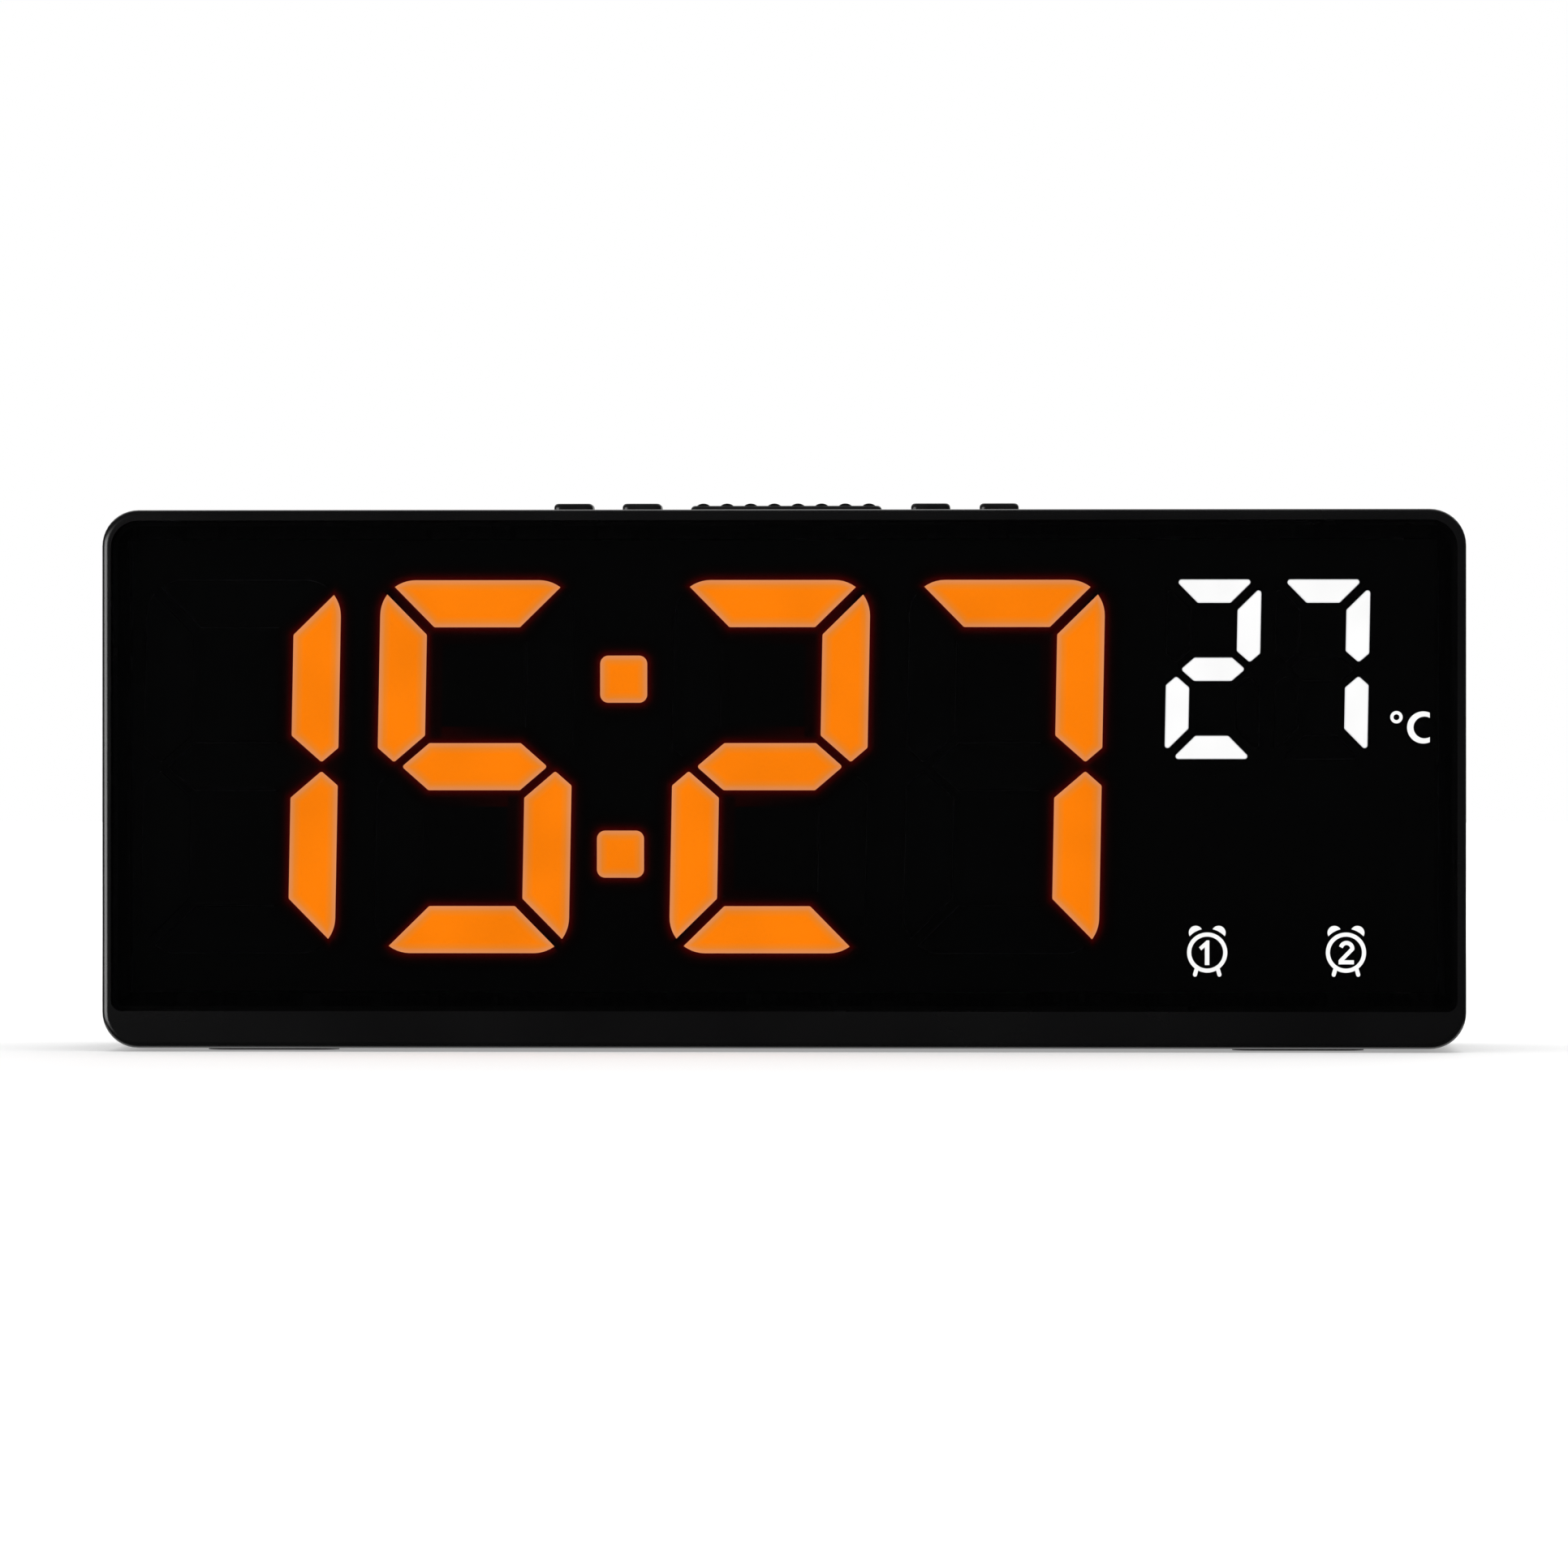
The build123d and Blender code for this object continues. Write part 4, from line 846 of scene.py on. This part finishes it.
finishes["cellSleeve"] = sleeveFinish(cellLook)


def islandBoxes(name):
    # Lowest and highest corner of each solid of a node
    mesh = bmesh.new()
    mesh.from_mesh(nodes[name].data)
    bmesh.ops.remove_doubles(mesh, verts=mesh.verts, dist=weld)
    left = set(mesh.verts)
    boxes = []
    for first in mesh.verts:
        if first not in left:
            continue
        left.remove(first)
        queue = [first]
        spots = []
        while queue:
            vert = queue.pop()
            spots.append(vert.co.copy())
            for joined in vert.link_edges:
                other = joined.other_vert(vert)
                if other in left:
                    left.remove(other)
                    queue.append(other)
        boxes.append(
            (
                Vector([min(p[i] for p in spots) for i in range(3)]),
                Vector([max(p[i] for p in spots) for i in range(3)]),
            )
        )
    mesh.free()
    return boxes


def turned(mesh, profile, startX, way, axis, steps, layer=None, length=1):
    # A profile of (along, radius) turned about a line along X
    rings = []
    for along, radius in profile:
        ring = []
        for k in range(steps):
            angle = 2 * pi * k / steps
            across = (axis[0] + radius * cos(angle), axis[1] + radius * sin(angle))
            vert = mesh.verts.new((startX + way * along, *across))
            if layer:
                vert[layer] = along / length
            ring.append(vert)
        rings.append(ring)
    fillRings(mesh, rings)
    mesh.faces.new(rings[0])
    mesh.faces.new(rings[-1][::-1])


def addCells(look):
    sleeves = bmesh.new()
    layer = sleeves.verts.layers.float.new("along")
    caps = bmesh.new()
    corners = [v.co for v in nodes["battery_cells"].data.vertices]
    for low, high in islandBoxes("battery_cells"):
        radius = (high.z - low.z) / 2
        axis = ((low.y + high.y) / 2, (low.z + high.z) / 2)
        length = high.x - low.x
        # The flat end is where the full width starts; the nub is at the other end
        outs = [(p.x, (p.yz - Vector(axis)).length) for p in corners]
        wideLow = min(x for x, out in outs if look["nub"] * 2 < out < radius + weld)
        way = 1 if wideLow < low.x + look["nubHeight"] / 2 else -1
        startX = low.x if way > 0 else high.x
        body = length - look["nubHeight"]
        lip, fold, rim, nub = look["lip"], look["fold"], look["rim"], look["nub"]
        deep, wide = look["hollow"]
        start = [(lip, rim), (lip, radius - fold), (fold * 0.35, radius - fold * 0.3), (fold, radius)]
        bands = [(body * share, radius) for share in (0.25, 0.5)]
        for share in (look["bandFrom"], look["bandTo"]):
            bands += [(body * share + side * look["bandEdge"], radius) for side in (-1, 1)]
        end = [(body - along, out) for along, out in start[::-1]]
        inside = [(body - deep, rim - wide), (deep, rim - wide)]
        profile = start + bands + end + inside
        turned(sleeves, profile, startX, way, axis, look["steps"], layer, body)
        steel = [(along, rim - less) for along, less in look["dish"]]
        steel += [(body - along, rim - less) for along, less in look["dish"][-1:]]
        steel += [(body + along, nub + more) for along, more in look["shoulder"]]
        steel += [(length - along, nub - less) for along, less in look["crown"]]
        turned(caps, steel, startX, way, axis, look["steps"])
    wraps = addPiece("cellSleeves", "housing", "cellSleeve", cleaned(sleeves))
    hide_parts("battery_cells")
    ends = addPiece("cellEnds", "housing", "brightSteel", cleaned(caps))
    for piece in (wraps, ends):
        piece.data.shade_smooth()
        piece.data.set_sharp_from_angle(angle=radians(35))


addCells(cellLook)
print("cells done")


# Rows of small bars, as a node tree with named inputs
def barRowTree():
    tree = bpy.data.node_groups.new("barRow", "GeometryNodeTree")
    face = tree.interface
    face.new_socket("Geometry", in_out="OUTPUT", socket_type="NodeSocketGeometry")
    for label, kind in (
        ("Count", "NodeSocketInt"),
        ("Start", "NodeSocketVector"),
        ("Step", "NodeSocketVector"),
        ("Bar Size", "NodeSocketVector"),
        ("Turn", "NodeSocketVector"),
        ("Finish", "NodeSocketMaterial"),
    ):
        face.new_socket(label, in_out="INPUT", socket_type=kind)
    given = addNode(tree, "NodeGroupInput")
    result = addNode(tree, "NodeGroupOutput")
    line = addNode(tree, "GeometryNodeMeshLine", {"mode": "OFFSET", "count_mode": "TOTAL"})
    bar = addNode(tree, "GeometryNodeMeshCube")
    repeat = addNode(tree, "GeometryNodeInstanceOnPoints")
    realize = addNode(tree, "GeometryNodeRealizeInstances")
    paint = addNode(tree, "GeometryNodeSetMaterial")
    link = tree.links.new
    link(given.outputs["Count"], line.inputs["Count"])
    link(given.outputs["Start"], line.inputs["Start Location"])
    link(given.outputs["Step"], line.inputs["Offset"])
    link(given.outputs["Bar Size"], bar.inputs["Size"])
    link(line.outputs["Mesh"], repeat.inputs["Points"])
    link(bar.outputs["Mesh"], repeat.inputs["Instance"])
    link(given.outputs["Turn"], repeat.inputs["Rotation"])
    link(repeat.outputs["Instances"], realize.inputs["Geometry"])
    link(realize.outputs["Geometry"], paint.inputs["Geometry"])
    link(given.outputs["Finish"], paint.inputs["Material"])
    link(paint.outputs["Geometry"], result.inputs["Geometry"])
    return tree


def plainRow(tree, values):
    # The tree's result as a plain mesh
    carrier = bpy.data.objects.new("rowCarrier", bpy.data.meshes.new("rowCarrier"))
    scene.collection.objects.link(carrier)
    modifier = carrier.modifiers.new("row", "NODES")
    modifier.node_group = tree
    for item in tree.interface.items_tree:
        if item.in_out == "INPUT":
            modifier[item.identifier] = values[item.name]
    bpy.context.view_layer.update()
    shown = carrier.evaluated_get(bpy.context.evaluated_depsgraph_get())
    made = bpy.data.meshes.new_from_object(shown)
    bpy.data.objects.remove(carrier)
    return made


barRow = barRowTree()
rearLean = radians(12)        # the rear wall leans by this from upright
outward = Vector((0, cos(rearLean), sin(rearLean)))
upward = Vector((0, -sin(rearLean), cos(rearLean)))

# Gold fingers on both faces of the inlet's tongue
fingerLook = {
    "count": 12,
    "pitch": 0.5 * mm,
    "size": (0.24 * mm, 3.6 * mm, 0.05 * mm),
    "set": 0.6 * mm,
    "tongueHalf": 0.35 * mm,
}


def addInletFingers(look):
    low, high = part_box("usb_socket")
    middle = (low + high) / 2
    mesh = bmesh.new()
    for side in (-1, 1):
        row = Vector((-(look["count"] - 1) / 2 * look["pitch"], 0, 0))
        lift = upward * side * (look["tongueHalf"] + look["size"][2] / 2)
        made = plainRow(
            barRow,
            {
                "Count": look["count"],
                "Start": middle + row + outward * look["set"] + lift,
                "Step": (look["pitch"], 0, 0),
                "Bar Size": look["size"],
                "Turn": (rearLean, 0, 0),
                "Finish": finishes["contactGold"],
            },
        )
        mesh.from_mesh(made)
        bpy.data.meshes.remove(made)
    piece = addPiece("inletFingers", "housing", "contactGold", mesh)


addInletFingers(fingerLook)

# Conductors of the key ribbon, standing a little proud of both its faces
ribbonLook = {"count": 8, "pitch": 1.08 * mm, "width": 0.72 * mm, "proud": 0.12 * mm}


def addRibbonConductors(look):
    low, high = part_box("key_ribbon")
    middle = (low + high) / 2
    made = plainRow(
        barRow,
        {
            "Count": look["count"],
            "Start": middle - Vector(((look["count"] - 1) / 2 * look["pitch"], 0, 0)),
            "Step": (look["pitch"], 0, 0),
            "Bar Size": (look["width"], high.y - low.y + 2 * look["proud"], high.z - low.z),
            "Turn": (0, 0, 0),
            "Finish": finishes["ribbonGrey"],
        },
    )
    mesh = bmesh.new()
    mesh.from_mesh(made)
    bpy.data.meshes.remove(made)
    piece = addPiece("ribbonConductors", "housing", "ribbonGrey", mesh)


addRibbonConductors(ribbonLook)
print("rows of bars done")


# Studio: white surroundings, a pale floor, dark sheets for the gloss, soft lamps and the camera
def shownRays(tree):
    # 1 for the rays that see the background: straight, mirrored or through glass
    path = addNode(tree, "ShaderNodeLightPath")
    mirrored = addNode(tree, "ShaderNodeMath", {"operation": "MAXIMUM"})
    shown = addNode(tree, "ShaderNodeMath", {"operation": "MAXIMUM"})
    tree.links.new(path.outputs["Is Glossy Ray"], mirrored.inputs[0])
    tree.links.new(path.outputs["Is Transmission Ray"], mirrored.inputs[1])
    tree.links.new(path.outputs["Is Camera Ray"], shown.inputs[0])
    tree.links.new(mirrored.outputs["Value"], shown.inputs[1])
    return shown.outputs["Value"]


worldLook = {"sky": 0.55, "white": 1.0}


def addWorld(look):
    world = bpy.data.worlds.new("studio")
    scene.world = world
    world.use_nodes = True
    tree = world.node_tree
    tree.nodes.clear()
    out = addNode(tree, "ShaderNodeOutputWorld")
    light = addNode(tree, "ShaderNodeBackground", inputs={"Strength": look["sky"]})
    seen = addNode(tree, "ShaderNodeBackground", inputs={"Strength": look["white"]})
    for background in (light, seen):
        background.inputs["Color"].default_value = (1, 1, 1, 1)
    mix = addNode(tree, "ShaderNodeMixShader")
    tree.links.new(shownRays(tree), mix.inputs["Fac"])
    tree.links.new(light.outputs["Background"], mix.inputs[1])
    tree.links.new(seen.outputs["Background"], mix.inputs[2])
    tree.links.new(mix.outputs["Shader"], out.inputs["Surface"])


def stageSheet(name, corners, faces, colour):
    # Matt sheets that are no part of the clock
    data = bpy.data.meshes.new(name)
    data.from_pydata(corners, [], faces)
    sheet = bpy.data.objects.new(name, data)
    scene.collection.objects.link(sheet)
    finish, tree, shader = newFinish(name)
    shader.inputs["Base Color"].default_value = (*colour, 1)
    shader.inputs["Roughness"].default_value = 1.0
    shader.inputs["Specular IOR Level"].default_value = 0.0
    data.materials.append(finish)
    return sheet, tree, shader


# The floor grows paler away from the clock, so that no horizon shows
floorLook = {
    "half": 6.0,
    "level": -0.02 * mm,        # just under the feet
    "colour": (0.8, 0.8, 0.8),
    "lift": (0.34, 1.0),
    "over": (0.25, 0.8),
}


def addFloor(look):
    half = look["half"]
    flat = ((-half, -half), (half, -half), (half, half), (-half, half))
    corners = [(x, y, look["level"]) for x, y in flat]
    floor, tree, shader = stageSheet("paleFloor", corners, [(0, 1, 2, 3)], look["colour"])
    shader.inputs["Emission Color"].default_value = (1, 1, 1, 1)
    place = addNode(tree, "ShaderNodeTexCoord")
    away = addNode(tree, "ShaderNodeVectorMath", {"operation": "LENGTH"})
    paler = addNode(
        tree,
        "ShaderNodeMapRange",
        {"interpolation_type": "SMOOTHSTEP"},
        {
            "From Min": look["over"][0],
            "From Max": look["over"][1],
            "To Min": look["lift"][0],
            "To Max": look["lift"][1],
        },
    )
    lift = addNode(tree, "ShaderNodeMath", {"operation": "MULTIPLY"})
    tree.links.new(place.outputs["Object"], away.inputs[0])
    tree.links.new(away.outputs["Value"], paler.inputs["Value"])
    tree.links.new(paler.outputs["Result"], lift.inputs[0])
    tree.links.new(shownRays(tree), lift.inputs[1])
    tree.links.new(lift.outputs["Value"], shader.inputs["Emission Strength"])
    floor.visible_glossy = False        # the window mirrors the room, not the table


# Dark sheets before, over, beside and low in front, for the gloss alone; the white shows behind
tentLook = {
    "half": 1.5,
    "front": -1.2,
    "back": 1.8,
    "over": 0.6,        # the sheet over the clock ends here
    "low": -0.5,
    "high": 1.3,
    "colour": (0.04, 0.04, 0.04),
}


def addTent(look):
    wide, front, back, low, high = (look[side] for side in ("half", "front", "back", "low", "high"))
    corners = [(x, y, z) for x in (-wide, wide) for y in (front, back) for z in (low, high)]
    corners += [(x, 0, low) for x in (-wide, wide)]
    corners += [(x, look["over"], high) for x in (-wide, wide)]
    sheets = [(0, 1, 5, 4), (0, 2, 3, 1), (4, 5, 7, 6), (1, 10, 11, 5), (0, 4, 9, 8)]
    tent = stageSheet("darkTent", corners, sheets, look["colour"])[0]
    tent.visible_camera = False
    tent.visible_diffuse = False
    tent.visible_transmission = False
    tent.visible_shadow = False


# Lamps: the panel draws the light line on the left edge and is seen in the gloss alone
lamps = {
    "leftPanel": {"place": (-0.85, -0.58, 0.03), "size": (0.9, 0.5), "power": 9.0, "gloss": True},
    "overhead": {"place": (0.1, -0.15, 1.5), "size": (1.4, 1.4), "power": 9.0, "gloss": False},
    "rearFill": {"place": (0.2, 1.3, 0.9), "size": (0.9, 0.9), "power": 5.0, "gloss": False},
}
lampAim = Vector((0, 0, 30 * mm))


def addLamps(looks):
    for name, look in looks.items():
        light = bpy.data.lights.new(name, "AREA")
        light.shape = "RECTANGLE"
        light.size, light.size_y = look["size"]
        light.energy = look["power"]
        lamp = bpy.data.objects.new(name, light)
        lamp.location = look["place"]
        lamp.rotation_euler = (lampAim - lamp.location).to_track_quat("-Z", "Y").to_euler()
        lamp.visible_camera = False
        lamp.visible_glossy = look["gloss"]
        lamp.visible_diffuse = not look["gloss"]
        scene.collection.objects.link(lamp)


# Camera: far off and nearly square on to the front, a little to its right, as in the photograph
cameraLook = {
    "distance": 1.0,
    "width": 189.45 * mm,        # of the picture, at the front of the clock
    "height": 32.4 * mm,
    "aim": 0.2 * mm,
    "turn": radians(1.8),
    "sensor": 36.0,
    "clip": (0.01, 50.0),
}


def addCamera(look):
    lens = bpy.data.cameras.new("camera")
    lens.sensor_width = look["sensor"]
    lens.lens = look["sensor"] * look["distance"] / look["width"]
    lens.clip_start, lens.clip_end = look["clip"]
    camera = bpy.data.objects.new("camera", lens)
    right = look["distance"] * sin(look["turn"])
    away = look["distance"] * cos(look["turn"])
    camera.location = (look["aim"] + right, cadLow.y - away, look["height"])
    camera.rotation_euler = (pi / 2, 0, look["turn"])
    scene.collection.objects.link(camera)
    scene.camera = camera


addWorld(worldLook)
addFloor(floorLook)
addTent(tentLook)
addLamps(lamps)
addCamera(cameraLook)
print("studio done")
